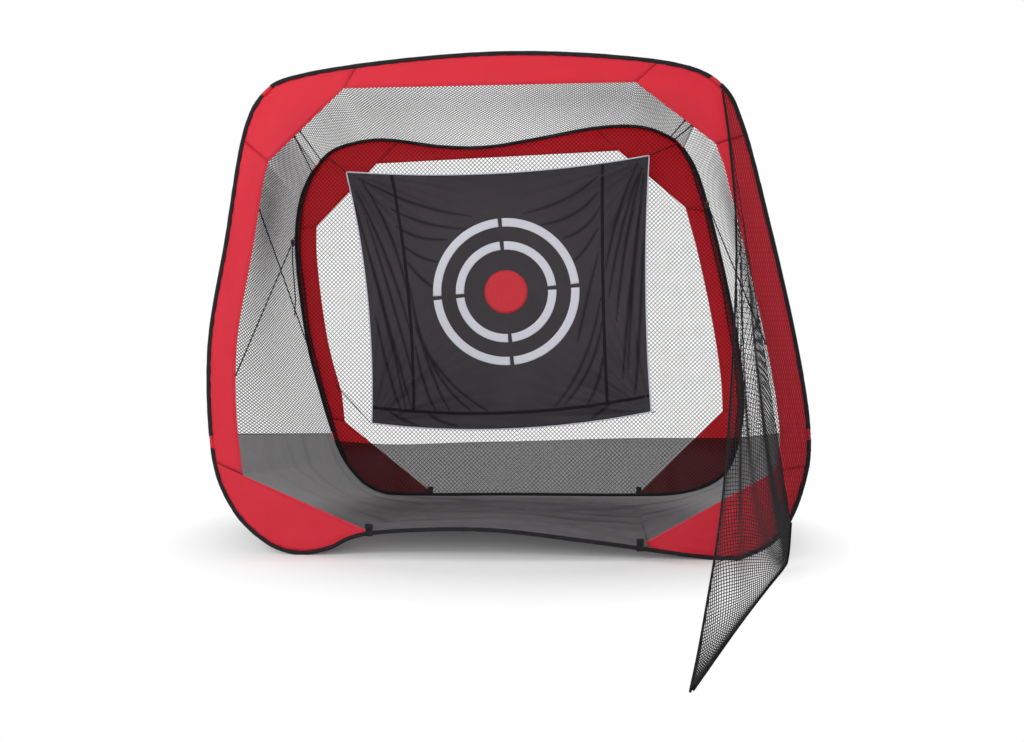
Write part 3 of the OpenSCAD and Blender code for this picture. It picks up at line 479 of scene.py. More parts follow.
# ---- The bare corners ----
# Where the tape stops, the red cloth itself goes round the wire, gathered by the tight bend. All
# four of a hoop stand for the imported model's one piece.
for place, hoop, cloth_kind in (("front", front, front_cloth), ("rear", rear, rear_cloth_painted_brighter)):
    wraps = []
    for k, (middle, half) in enumerate(hoop.gaps):
        wraps.append(hoop_tube(f"{place}_corner_wrap_{k}", hoop, middle - half - 0.02, middle + half + 0.02,
                               SLEEVE_W / 2 - 0.0015, SLEEVE_T / 2 - 0.001, 0.09, per_station=60))
        wraps[-1].data.materials.append(cloth_kind)
        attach(wraps[-1], f"{place}_frame")
    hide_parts(f"{place}_corner_wraps")


# ---- Knotted netting ----
# Black polyethylene twine, knotted in diamonds of about 22 mm that the pull between the hoops
# draws out long. Roof and sides are sewn to the front border's edge and to the rear binding.
def twine_material():
    material, tree, skin = shader("black twine")
    twist = noise(tree, object_place(tree), 420.0, 2.0)
    coloured(tree, skin, mix(tree, twist, (20, 19, 21), (52, 51, 55)))
    raised(tree, skin, twist, 0.5, 0.0003)
    matt(skin, 0.7, 0.2)
    return material


black_twine = twine_material()


def rings(sideways, upwards, turn):
    """Circles of radius 1 at the angles turn, one for each point of a line."""
    across, up = np.cos(turn)[None, :, None], np.sin(turn)[None, :, None]
    return sideways[:, None] * across + upwards[:, None] * up


def twine_piece(name, starts, ends, normals, radius):
    """Three-sided strands from starts to ends, as one mesh. Strands that meet share a knot."""
    along = unit(ends - starts)
    n = unit(normals - (normals * along).sum(-1, keepdims=True) * along)
    ring = radius * rings(n, np.cross(along, n), np.arange(3) * 2 * math.pi / 3)
    points = np.concatenate([starts[:, None] + ring * 1.3, ends[:, None] + ring * 1.3], 1)
    base = np.arange(len(starts))[:, None, None] * 6
    quads = np.array([(0, 1, 4, 3), (1, 2, 5, 4), (2, 0, 3, 5)])[None]
    return new_piece(name, points.reshape(-1, 3), (base + quads).reshape(-1, 4))


def net_over(name, p, radius):
    """Diamond netting over a grid of points: one strand across each cell, leaning by turns."""
    n = unit(np.cross(np.gradient(p, axis=0), np.gradient(p, axis=1)))
    j, i = np.meshgrid(np.arange(p.shape[0] - 1), np.arange(p.shape[1] - 1), indexing="ij")
    even = (j + i) % 2 == 0
    starts = np.where(even[..., None], p[:-1, :-1], p[1:, :-1]).reshape(-1, 3)
    ends = np.where(even[..., None], p[1:, 1:], p[:-1, 1:]).reshape(-1, 3)
    return twine_piece(name, starts, ends, n[:-1, :-1].reshape(-1, 3), radius)


def spread(line, u):
    """Points at shares u of the length of a line of points."""
    run = run_along(line)
    want = np.asarray(u) * run[-1]
    return np.stack([np.interp(want, run, line[:, c]) for c in range(line.shape[1])], -1)


# The walls reach this far under the border. They belly out between the hoops, less at the seams.
UNDER_BORDER = 0.004
BELLY, ROOF_SEAM = 0.024, 0.1


def front_line(s0, s1, count=160):
    """The line on the border's back that a wall is sewn to, deeper at the top gussets."""
    s = np.linspace(s0, s1, count)
    p = front.border(s)
    d = front.border(s + 0.04) - front.border(s - 0.04)
    around = np.mod(s, len(front.points))
    deeper = sum(np.exp(-((around - gusset) / 0.8) ** 2) for gusset in (3.1, 23.1))
    under = UNDER_BORDER + 0.08 * deeper
    q = p - unit(np.stack([d[:, 1], -d[:, 0]], -1)) * under[:, None]
    return np.stack([q[:, 0], np.full(count, 0.0024), q[:, 1]], -1)


def rear_line(s0, s1, count=160):
    """The line on the front of the rear binding that a wall is sewn to."""
    q = rear.inside(np.linspace(s0, s1, count), 0.003)
    y = np.full(count, DEPTH - SLEEVE_T / 2 - 0.0003)
    return np.stack([q[:, 0], y, np.maximum(q[:, 1], 0.004)], -1)


def wall_point(a, b, seam_shares, u, v):
    """Points of a wall at shares u of its width and v of its depth."""
    fa, fb = spread(a, u), spread(b, u)
    p = fa[:, None] * (1 - v)[None, :, None] + fb[:, None] * v[None, :, None]
    away = p - np.array([0, 0, HOOP_H / 2])
    away[..., 1] = 0
    lift = np.sin(math.pi * u)
    share = (seam_shares[0] * (1 - u) + seam_shares[1] * u) * (1 - lift) + lift
    return p + BELLY * share[:, None, None] * np.sin(math.pi * v ** 1.2)[None, :, None] * unit(away)


n_front, n_rear = len(front.points), len(rear.points)
walls = {
    "roof_net": (front_line(22.92 - n_front, 3.35), rear_line(22.4 - n_rear, 3.9),
                 (ROOF_SEAM, ROOF_SEAM)),
    "left_net": (front_line(19.2, 22.92), rear_line(17.3, 22.4), (0, ROOF_SEAM)),
    "right_net": (front_line(3.35, 6.93), rear_line(3.9, 8.6), (ROOF_SEAM, 0)),
}
# Half a diamond's width and length as the pull leaves it, and the twine's radius.
pulled = {"roof_net": (0.0086, 0.027, 0.0012), "left_net": (0.0074, 0.027, 0.0015),
          "right_net": (0.0092, 0.042, 0.0010)}
for name, (a, b, shares) in walls.items():
    half_w, half_l, radius = pulled[name]
    width = (run_along(a)[-1] + run_along(b)[-1]) / 2
    u = np.linspace(0.001, 0.999, 2 * round(width / half_w / 2) + 1)
    v = np.linspace(0, 1, 2 * round(DEPTH / half_l / 2) + 1)
    net = net_over(f"{name[:-4]}_netting", wall_point(a, b, shares, u, v), radius)
    net.data.materials.append(black_twine)
    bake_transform(net)
    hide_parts(name)


# ---- Seams of the netting ----
# Roof and sides meet along a doubled twine, whipped together, from corner to corner.
def mend(piece, doubles=False):
    """Merges doubles or closes open ends, and turns all faces outwards."""
    bpy.context.view_layer.objects.active = piece
    piece.select_set(True)
    bpy.ops.object.mode_set(mode="EDIT")
    if doubles:
        bpy.ops.mesh.select_all(action="SELECT")
        bpy.ops.mesh.remove_doubles(threshold=0.0001)
    else:
        bpy.ops.mesh.select_all(action="DESELECT")
        bpy.ops.mesh.select_non_manifold()
        bpy.ops.mesh.fill_holes(sides=0)
        bpy.ops.mesh.select_all(action="SELECT")
    bpy.ops.mesh.normals_make_consistent(inside=False)
    bpy.ops.object.mode_set(mode="OBJECT")
    piece.select_set(False)


def cord_tube(name, points, radius, sides=8):
    """A cord along points, closed at both ends, with UVs in metres along and round it."""
    p = np.asarray(points, float)
    tangent = unit(np.gradient(p, axis=0))
    normal = np.cross(tangent[0], [0, 0, 1] if abs(tangent[0][2]) < 0.9 else [1, 0, 0])
    normals = []
    for t in tangent:
        normal = normal - normal.dot(t) * t
        normal = normal / np.linalg.norm(normal)
        normals.append(normal)
    turn = np.linspace(0, 2 * math.pi, sides, endpoint=False)
    grid = p[:, None] + rings(np.array(normals), np.cross(tangent, normals), turn) * radius
    tube = cloth_from_grid(name, grid, paired(run_along(p)[:, None], turn * radius), close_across=True)
    mend(tube)
    return tube


def cord_material(name, dark, light, pitch=0.006):
    """A braided cord: strands cross slantwise along its UVs."""
    material, tree, skin = shader(name)
    uv = sewn_uv(tree)
    xyz = node(tree, "ShaderNodeSeparateXYZ", i0=uv)
    slants = [sums(tree, way, xyz.outputs[0], xyz.outputs[1]) for way in ("ADD", "SUBTRACT")]
    turns = [sums(tree, "MULTIPLY", slant, 2 * math.pi / pitch) for slant in slants]
    braid = sums(tree, "MAXIMUM", *(sums(tree, "SINE", turn) for turn in turns))
    fuzz = noise(tree, uv, 900.0, 2.0)
    tone = sums(tree, "MULTIPLY_ADD", braid, 0.3, sums(tree, "MULTIPLY", fuzz, 0.7))
    coloured(tree, skin, mix(tree, tone, dark, light))
    raised(tree, skin, sums(tree, "ADD", braid, fuzz), 0.7, 0.0005)
    matt(skin, 0.85, 0.15)
    return material


braided_cord = cord_material("black braided cord", (10, 10, 12), (44, 44, 48))

for name, wall, edge in (("left_roof_seam", "roof_net", 0.0), ("right_roof_seam", "roof_net", 1.0),
                         ("left_floor_seam", "left_net", 0.0), ("right_floor_seam", "right_net", 1.0)):
    a, b, shares = walls[wall]
    v = np.linspace(0.002, 0.996, 70)
    line = wall_point(a, b, shares, np.array([edge]), v)[0]
    seam = cord_tube(name, line, 0.0021 if "roof" in name else 0.0026, 6)
    seam.data.materials.append(braided_cord)
    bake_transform(seam)


# ---- The net behind ----
# One flat net over the whole rear hoop, on its front side, sewn round the binding.
def clipped_net(name, outline, y, radius, cell):
    """Flat diamond netting inside an outline in a plane of constant y, cut at its edge."""
    cell = np.array(cell)
    low, high = outline.min(0) - cell, outline.max(0) + cell
    cols, rows = (np.ceil((high - low) / cell)).astype(int)
    j, i = np.meshgrid(np.arange(rows), np.arange(cols), indexing="ij")
    even = (j + i) % 2 == 0
    corner = lambda a, b: np.stack([low[0] + (i + a) * cell[0], low[1] + (j + b) * cell[1]], -1)
    starts = np.where(even[..., None], corner(0, 0), corner(0, 1)).reshape(-1, 2)
    ends = np.where(even[..., None], corner(1, 1), corner(1, 0)).reshape(-1, 2)

    def within(q):
        hit = np.zeros(len(q), bool)
        for a, b in zip(outline, np.roll(outline, -1, axis=0)):
            cross = (a[1] > q[:, 1]) != (b[1] > q[:, 1])
            if cross.any():
                x = a[0] + (q[cross, 1] - a[1]) * (b[0] - a[0]) / (b[1] - a[1])
                hit[cross] ^= q[cross, 0] < x
        return hit

    a_in, b_in = within(starts), within(ends)
    for here, there, sel in ((starts, ends, b_in & ~a_in), (ends, starts, a_in & ~b_in)):
        inner, outer = there[sel], here[sel].copy()
        for halving in range(6):  # closes in on the outline
            middle = (inner + outer) / 2
            ok = within(middle)
            inner = np.where(ok[:, None], middle, inner)
            outer = np.where(ok[:, None], outer, middle)
        here[sel] = inner
    keep = a_in | b_in
    lift = lambda q: np.stack([q[:, 0], np.full(len(q), y), q[:, 1]], -1)
    starts, ends = lift(starts[keep]), lift(ends[keep])
    return twine_piece(name, starts, ends, np.broadcast_to([0.0, 1.0, 0.0], starts.shape), radius)


TWINE, CELL = 0.00125, 0.0112
rear_rim = rear.inside(np.linspace(0, n_rear, 220, endpoint=False), SLEEVE_W - 0.002)
net_y = DEPTH - 0.0035
for half, keep in (("left", rear_rim[:, 0] <= 0), ("right", rear_rim[:, 0] >= 0)):
    rim = rear_rim[keep]
    outwards = rim[:, 0] if half == "right" else -rim[:, 0]
    rim = rim[np.argsort(np.arctan2(rim[:, 1] - HOOP_H / 2, outwards))]
    rim = np.concatenate([[[0, rim[0, 1]]], rim, [[0, rim[-1, 1]]]])
    back = clipped_net(f"rear_netting_{half}", rim, net_y, TWINE, (CELL, CELL))
    back.data.materials.append(black_twine)
    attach(back, "rear_frame")
    if half == "left":
        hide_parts("rear_net")


# The side nets are cut wide, and their spare width is bunched along the rear binding: stations
# where each bunch starts and ends, and its width there.
BUNCHES = (("right", 3.6, 9.3, 0.024, 0.042), ("left", 22.9, 16.6, 0.024, 0.032),
           ("top", 22.9 - n_rear, 3.6, 0.009, 0.009))
for side, s0, s1, wide_top, wide_low in BUNCHES:
    s = np.linspace(s0, s1, 220)
    share = np.linspace(0, 1, 220)
    narrowed = np.sin(math.pi * np.clip(share, 0.06, 0.94)) ** 0.35
    wide = (wide_top + (wide_low - wide_top) * share) * narrowed
    t = np.linspace(0, 1, 9)
    depth = 0.010 + wide[:, None] * (t + 0.07 * np.sin(41 * share[:, None] + 5 * t))
    flat = rear.inside(np.repeat(s[:, None], 9, 1), depth)
    twist = 2.1 * np.sin(33 * share) + 17 * share
    roll = 0.0045 * np.abs(np.sin(math.pi * t + twist[:, None]))
    y, z = DEPTH - SLEEVE_T / 2 - 0.001 - roll, np.maximum(flat[..., 1], 0.003)
    bunch = np.stack([flat[..., 0], y, z], -1)
    hem_net = net_over(f"rear_{side}_bunched_net", bunch, 0.0015)
    hem_net.data.materials.append(black_twine)
    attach(hem_net, "rear_frame")
    bunched = cord_tube(f"rear_{side}_bunched_hem", bunch[3:-3, 7], 0.0022, 6)
    bunched.data.materials.append(braided_cord)
    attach(bunched, "rear_frame")


# ---- The mesh floor and skirt ----
# A close woven mesh, dark grey and half see-through. It lies in shallow folds on the ground and
# rises at both sides, and a strip of it stands up in front of the rear net.
def mark_creases(piece, amount):
    """Keeps how deep in a crease each point lies, from 0 to 1, for the painted shade in the cloth's material.
    """
    held = piece.data.attributes.new("crease", "FLOAT", "POINT")
    held.data.foreach_set("value", np.clip(amount, 0, 1).reshape(-1).astype(np.float32))


def crease_double_and_shade(tree, colour, shade):
    """A colour that goes darker in the creases: painted shade, and in a see-through mesh also the cloth lying
    double there.
    """
    crease = node(tree, "ShaderNodeAttribute", {"attribute_name": "crease"}).outputs["Fac"]
    return mix(tree, crease, colour, shade)


MESH_PITCH = 0.0024


def fine_mesh(name, holes, dark, light, shade):
    """Woven mesh, on UVs in metres. Its holes are the share of it that can be seen through."""
    material, tree, skin = shader(name)
    uv = sewn_uv(tree)
    xyz = node(tree, "ShaderNodeSeparateXYZ", i0=uv)
    turns = [sums(tree, "MULTIPLY", xyz.outputs[c], math.pi / MESH_PITCH) for c in (0, 1)]
    wave = [sums(tree, "ABSOLUTE", sums(tree, "SINE", turn)) for turn in turns]
    gap = sums(tree, "MULTIPLY", sums(tree, "MULTIPLY", *wave), holes * math.pi ** 2 / 4)
    tone = mix(tree, noise(tree, uv, 14.0, 4.0), dark, light)
    coloured(tree, skin, crease_double_and_shade(tree, tone, shade))
    tree.links.new(sums(tree, "SUBTRACT", 1.0, gap), skin.inputs["Alpha"])
    raised(tree, skin, sums(tree, "ADD", *wave), 0.4, 0.0004)
    matt(skin, 0.75, 0.2)
    return material


# The floor is the same mesh as the skirt, painted lighter to stand in for the light from above and the pale
# ground showing through it.
floor_mesh_painted_lighter = fine_mesh("floor mesh painted lighter", 0.10, (88, 85, 88), (114, 110, 113), (44, 42, 45))
skirt_mesh = fine_mesh("skirt mesh", 0.22, (42, 38, 41), (56, 51, 54), (24, 22, 26))
floor_a, floor_b = front_line(6.93, 19.2, 260), rear_line(8.6, 17.3, 260)
u = np.linspace(0.001, 0.999, 200)
v = np.linspace(0, 1, 210)
fa, fb = spread(floor_a, u), spread(floor_b, u)
lie = fa[:, None] * (1 - v)[None, :, None] + fb[:, None] * v[None, :, None]
U, V = np.meshgrid(u, v, indexing="ij")
fold = 0.005 * np.sin(np.radians(1440 * V + 216 * U)) - 0.012 * np.sin(math.pi * V)
wrinkle = (0.0035 * np.sin(38 * V + 5 * np.sin(9 * U)) * np.sin(7 * U + 2)
           + 0.002 * np.sin(61 * V + 23 * U))
tucks = np.zeros_like(V)
TUCKS = ((0.88, 0.30, 0.010, 0.018), (0.69, 0.55, 0.009, 0.020), (0.50, 0.25, 0.006, 0.024),
         (0.30, -0.15, 0.005, 0.028), (0.62, -0.45, 0.005, 0.024))
for back, lean, deep, wide in TUCKS:
    tuck = np.exp(-((V - back - lean * (U - 0.55) - 0.014 * np.sin(9 * U)) / wide) ** 2)
    wrinkle, tucks = wrinkle - deep * tuck, tucks + deep / 0.010 * tuck
held = np.clip((1 - V) / 0.05, 0, 1) * np.clip(V / 0.05, 0, 1) * np.sin(math.pi * U)
lie[..., 2] = np.maximum(lie[..., 2] + (fold + wrinkle) * held, 0.0022)
arc = paired(u[:, None] * run_along(floor_a)[-1], V * DEPTH)
floor = cloth_from_grid("mesh_floor_cloth", lie, arc)
# Darker in the tucks: painted shade in the folds, and the mesh lying double there.
mark_creases(floor, 0.85 * tucks * np.clip(0.7 + 0.5 * np.sin(9 * U + 8 * V), 0.3, 1))
floor.data.materials.append(floor_mesh_painted_lighter)
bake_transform(floor)
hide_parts("mesh_floor")


def upright_uv(grid):
    """UVs of an upright sheet: its x and z in metres, moved so that none is below 0."""
    return np.stack([grid[..., 0] + 2, grid[..., 2]], -1)


SKIRT_H = 0.33
skirt_rim = rear_rim[rear_rim[:, 1] < SKIRT_H]
skirt_rim = skirt_rim[np.argsort(skirt_rim[:, 0])]
columns = np.linspace(skirt_rim[:, 0].min() + 0.002, skirt_rim[:, 0].max() - 0.002, 150)
low = np.array([np.interp(x, skirt_rim[:, 0], skirt_rim[:, 1]) for x in columns])
t = np.linspace(0, 1, 20)
top = (SKIRT_H - 0.042 * np.exp(-((columns + 0.72) / 0.42) ** 2)
       - 0.022 * np.exp(-((columns + 0.05) / 0.5) ** 2))
top = np.maximum(top, low + 0.004)
z = low[:, None] + (top - low)[:, None] * t
y = DEPTH - 0.0045 - 0.003 * np.abs(np.sin(columns * 17))[:, None] * np.sin(math.pi * t)
grid = np.stack(np.broadcast_arrays(columns[:, None], y, z), -1)
skirt = cloth_from_grid("rear_skirt_cloth", grid, upright_uv(grid))
hem_depth = 0.016 + 0.05 * np.abs(columns / 1.1) ** 1.5
in_hem = np.clip(1.6 - (top[:, None] - grid[..., 2]) / hem_depth[:, None], 0, 1)
# Darker in its folds, painted shade, and in a band along its top, its hem, that widens towards the sides.
mark_creases(skirt, 0.35 * np.clip(np.sin(grid[..., 0] * 17), 0, 1) ** 6 + 0.9 * in_hem)
skirt.data.materials.append(skirt_mesh)
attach(skirt, "rear_frame")
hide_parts("rear_skirt")


# ---- Bracing cords ----
# Braided cords of 5 mm run from webbing tabs on the front border to knots behind the rear binding:
# two along each roof corner, and two crossing on each side.
def front_heading(s):
    """The direction in which the border's inner edge runs at a station."""
    return unit(front.border([s + 0.04])[0] - front.border([s - 0.04])[0])


def front_tab_point(s, depth):
    """A point that deep inside the border's inner edge."""
    d = front_heading(s)
    return front.border([s])[0] + np.array([d[1], -d[0]]) * depth


def cord_start(s):
    x, z = front_tab_point(s, 0.002)
    return np.array([x, 0.00055, z])


def cord_finish(s, depth=0.016):
    x, z = rear.inside(s, depth)
    return np.array([x, DEPTH - SLEEVE_T / 2 - 0.0053, z])


def overhand_knot(name, centre, size, cord_radius, heading):
    """A small overhand knot: a cord that laps itself three times and is pulled tight."""
    t = np.linspace(0, 2 * math.pi, 42, endpoint=False)
    loop = np.stack([np.sin(t) + 2 * np.sin(2 * t), np.cos(t) - 2 * np.cos(2 * t), -1.2 * np.sin(3 * t)], -1)
    loop *= (size / 2 - cord_radius) / 3
    k = unit(np.array(heading, float))
    a = unit(np.cross(k, [0.3, 0.2, 1.0]))
    b = np.cross(k, a)
    loop = loop[:, :1] * a + loop[:, 1:2] * b + loop[:, 2:] * k + np.asarray(centre)
    tangent = unit(np.roll(loop, -1, 0) - np.roll(loop, 1, 0))
    n = unit(np.cross(tangent, loop - np.asarray(centre) + 1e-6))
    turn = np.linspace(0, 2 * math.pi, 7, endpoint=False)
    grid = loop[:, None] + cord_radius * rings(n, np.cross(tangent, n), turn)
    uv = paired(t[:, None] * size * 0.6, turn * cord_radius)
    knot = cloth_from_grid(name, grid, uv, close_across=True, close_along=True)
    knot.data.materials.append(braided_cord)
    return knot


def taut_cord(name, start, finish, radius=0.0029):
    """A cord that the frame holds tight, with its knot at its finish."""
    line = start + (finish - start) * np.linspace(0, 1, 26)[:, None]
    cord = cord_tube(name, line, radius)
    cord.data.materials.append(braided_cord)
    knot = overhand_knot(name + "_knot", finish, 0.0098, radius * 0.95, finish - start)
    for piece in (cord, knot):
        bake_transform(piece)
    return cord


corner_runs = [(22.87, 22.15), (23.07, 22.65), (3.22, 3.15), (3.43, 3.36)]
for k, (s, e) in enumerate(corner_runs):
    cord = taut_cord(f"corner_cord_{k}", cord_start(s), cord_finish(e))
    if k == 0:
        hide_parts("corner_cords")
brace_runs = {"left_brace_high": (21.3, 18.7), "right_brace_high": (5.1, 7.15),
              "left_brace_low": (19.76, 20.4), "right_brace_low": (6.0, 5.15)}
for name, (s, e) in brace_runs.items():
    far = cord_finish(e, 0.020 if name == "right_brace_high" else 0.016)
    cord = taut_cord(name + "_cord", cord_start(s), far)
    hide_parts(name)


# ---- Cord tabs ----
# Each cord starts in a tab of webbing that is sewn on behind the border's inner edge. Its folded
# end just passes the hem.
def webbing_strip(name, path, across, width, thickness):
    """Flat webbing that follows a path of points and is as wide as the direction across says."""
    t = np.linspace(-0.5, 0.5, 7)
    grid = path[:, None] + unit(np.array(across, float)) * (t * width)[None, :, None]
    strip = cloth_from_grid(name, grid, paired(run_along(path)[:, None], (t + 0.5) * width))
    thicken(strip, thickness)
    return strip


tab_stations = [s for s, e in (*brace_runs.values(), *corner_runs)]
for k, s in enumerate(tab_stations):
    root, tip = front_tab_point(s, -0.012), front_tab_point(s, 0.0035)
    d = front_heading(s)
    t = np.linspace(0, 1, 8)
    line = root + (tip - root) * t[:, None]
    hump = 0.0016 * np.sin(math.pi * np.clip((t - 0.45) / 0.55, 0, 1))
    path = np.stack([line[:, 0], 0.0019 + hump, line[:, 1]], -1)
    tab = webbing_strip(f"cord_tab_{k}", path, (d[0], 0, d[1]), 0.011, 0.0012)
    tab.data.materials.append(binding_tape)
    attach(tab, "front_frame")
    if k == 0:
        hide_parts("front_cord_tabs")


# ---- Cord locks and the loose end ----
# A sprung plunger in a moulded barrel grips the lower cord on each side near the rear hoop. On
# the left the cord's loose end hangs from the lock, with two knots in it.
def moulded_plastic(name, tone):
    """A plain moulded plastic with a fine grain, rubbed brighter in places."""
    material, tree, skin = shader(name)
    place = object_place(tree)
    wear = noise(tree, place, 120.0, 3.0)
    dark, worn = (tone, tone, tone + 2), (tone + 26, tone + 26, tone + 29)
    coloured(tree, skin, mix(tree, wear, dark, worn))
    tree.links.new(sums(tree, "MULTIPLY_ADD", wear, 0.25, 0.3), skin.inputs["Roughness"])
    raised(tree, skin, noise(tree, place, 1600.0, 2.0), 0.25, 0.0002)
    return material


def drawn_steel():
    material, tree, skin = shader("drawn spring steel")
    lines = noise(tree, object_place(tree), 300.0, 2.0)
    coloured(tree, skin, mix(tree, lines, (150, 152, 156), (196, 198, 202)))
    tree.links.new(sums(tree, "MULTIPLY_ADD", lines, 0.2, 0.25), skin.inputs["Roughness"])
    skin.inputs["Metallic"].default_value = 1.0
    return material


barrel_plastic = moulded_plastic("moulded black plastic", 24)
plunger_plastic = moulded_plastic("moulded plunger plastic", 40)
steel = drawn_steel()
kept_nodes = {"left_lock_barrel": barrel_plastic, "right_lock_barrel": barrel_plastic,
              "left_lock_plunger": plunger_plastic, "right_lock_plunger": plunger_plastic,
              "left_lock_spring": steel, "right_lock_spring": steel, "front_wire": steel,
              "rear_wire": steel, "front_ferrule": steel, "rear_ferrule": steel}
for name, finish in kept_nodes.items():
    cad = frame["nodes"][name]
    cad.data.materials.clear()
    cad.data.materials.append(finish)


def smooth_run(points, u):
    """A smooth open curve through points, at shares u of their count."""
    p = np.asarray(points, float)
    m = len(p) - 1
    s = np.minimum(np.asarray(u) * m, m - 0.0001)
    i = np.floor(s).astype(int)
    t = (s - i)[:, None]
    a, b, c, d = p[np.maximum(i - 1, 0)], p[i], p[i + 1], p[np.minimum(i + 2, m)]
    return 0.5 * (2 * b + (c - a) * t + (2 * a - 5 * b + 4 * c - d) * t ** 2
                  + (3 * b - a - 3 * c + d) * t ** 3)


s, e = brace_runs["left_brace_low"]
low_start, low_end = cord_start(s), cord_finish(e)
lock_place = low_start + (low_end - low_start) * 0.9
lie_along = unit(low_end - low_start)
yaw, pitch = math.atan2(lie_along[1], lie_along[0]), math.asin(lie_along[2])
lock_up = np.array([-math.sin(pitch) * math.cos(yaw), -math.sin(pitch) * math.sin(yaw),
                    math.cos(pitch)])
tail_start = lock_place - lock_up * 0.014
tail_route = np.array([(0, 0, 0), (-2, 4, -12), (-3, 6, -48), (-1, 5, -100), (3, 3, -150), (7, 2, -200),
                       (10, 2, -250), (12, 3, -290), (9, 3, -330), (7, 4, -372)]) / 1000 + tail_start
tail_line = smooth_run(tail_route, np.linspace(0, 1, 90))
tail = cord_tube("left_loose_end", tail_line, 0.0028, 10)
tail.data.materials.append(braided_cord)
tail_knots = [overhand_knot(f"loose_end_knot_{k}", smooth_run(tail_route, [u])[0], 0.0096, 0.0022,
                            (0, 0, 1)) for k, u in enumerate((0.72, 0.985))]
for piece in (tail, *tail_knots):
    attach(piece, "left_lock")
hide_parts("left_cord_tail")


# ---- The target sheet ----
# A dark woven sheet hangs from four corner ties in front of the rear net. The ties pull creases
# out of its corners. Its edge is piped, and three tapes are sewn down it.
TARGET_Y = DEPTH - 0.130
target_corner = np.array([(-0.3745, 0.871), (0.2865, 0.906), (0.294, 0.241),
                          (-0.321, 0.207)]) * (HOOP_W, HOOP_H)
bull = np.array([-0.0552, 1.110])
RINGS, RING_W, DISC_R = (0.222, 0.343), 0.044, 0.114
FLAT_R = RINGS[1] + RING_W + 0.105
SHEET_T, TAPE_W, TAPE_T, PIPING_R = 0.0012, 0.016, 0.0008, 0.0036


def sheet_place(u, v):
    """The sheet's plan at shares u across and v down, with edges that draw in."""
    u, v = np.asarray(u)[..., None], np.asarray(v)[..., None]
    p = ((target_corner[0] * (1 - u) + target_corner[1] * u) * (1 - v)
         + (target_corner[3] * (1 - u) + target_corner[2] * u) * v)
    dx = 4 * v * (1 - v) * (0.044 * (1 - u) - 0.022 * u)
    dz = 4 * u * (1 - u) * (-0.049 * (1 - v) - 0.060 * v)
    return p + np.concatenate([dx, dz], -1)


# Longer creases hang in curves beside the tapes: three points each, as shares across and down.
drape = [((0.0, 0.10), (0.03, 0.45), (0.12, 0.93)), ((0.01, 0.05), (0.10, 0.35), (0.145, 0.62)),
         ((0.02, 0.30), (0.06, 0.62), (0.14, 0.92)), ((0.04, 0.02), (0.12, 0.22), (0.145, 0.45)),
         ((0.16, 0.52), (0.20, 0.80), (0.36, 0.93)), ((0.155, 0.40), (0.17, 0.72), (0.28, 0.93)),
         ((0.16, 0.66), (0.18, 0.84), (0.23, 0.93)), ((0.12, 0.13), (0.22, 0.20), (0.38, 0.21)),
         ((0.13, 0.20), (0.20, 0.26), (0.31, 0.25)), ((0.84, 0.10), (0.78, 0.20), (0.64, 0.21)),
         ((0.845, 0.16), (0.80, 0.26), (0.71, 0.27)), ((0.985, 0.02), (0.93, 0.30), (0.895, 0.62)),
         ((0.99, 0.04), (0.97, 0.35), (0.93, 0.82)), ((0.97, 0.01), (0.90, 0.18), (0.86, 0.42)),
         ((0.845, 0.60), (0.82, 0.80), (0.70, 0.92)), ((0.845, 0.74), (0.83, 0.86), (0.78, 0.93)),
         ((0.995, 0.30), (0.985, 0.70), (0.95, 0.92)), ((0.05, 0.94), (0.10, 0.98), (0.17, 0.995)),
         ((0.87, 0.93), (0.83, 0.97), (0.79, 0.99)), ((0.02, 0.01), (0.20, 0.13), (0.40, 0.16)),
         ((0.14, 0.27), (0.20, 0.33), (0.27, 0.34)), ((0.15, 0.33), (0.20, 0.42), (0.26, 0.45)),
         ((0.03, 0.15), (0.09, 0.55), (0.15, 0.80)), ((0.02, 0.55), (0.05, 0.80), (0.10, 0.93)),
         ((0.16, 0.58), (0.22, 0.80), (0.42, 0.93)), ((0.84, 0.24), (0.79, 0.34), (0.74, 0.37)),
         ((0.84, 0.04), (0.76, 0.13), (0.58, 0.16)), ((0.975, 0.05), (0.92, 0.22), (0.87, 0.52)),
         ((0.985, 0.15), (0.955, 0.45), (0.91, 0.85)), ((0.845, 0.50), (0.80, 0.78), (0.66, 0.93)),
         ((0.84, 0.33), (0.77, 0.60), (0.755, 0.68)), ((0.20, 0.945), (0.24, 0.975), (0.31, 0.99))]


def draped(p):
    """How deep in the hanging creases points of the sheet's plane lie, from 0 to 1."""
    total = np.zeros(p.shape[:-1])
    t = np.linspace(0, 1, 26)
    for a, b, c in drape:
        route = np.outer((1 - t) ** 2, a) + np.outer(2 * t * (1 - t), b) + np.outer(t ** 2, c)
        route = sheet_place(route[:, 0], route[:, 1])
        near = np.full(p.shape[:-1], 9.0)
        for q, step, w in zip(route, np.diff(route, axis=0), np.sin(math.pi * t) ** 0.4 + 0.05):
            along = np.clip((p - q) @ step / (step @ step), 0, 1)
            near = np.minimum(near, np.linalg.norm(p - q - along[..., None] * step, axis=-1) / w)
        total += np.exp(-(near / 0.0075) ** 2)
    return np.clip(total, 0, 1)


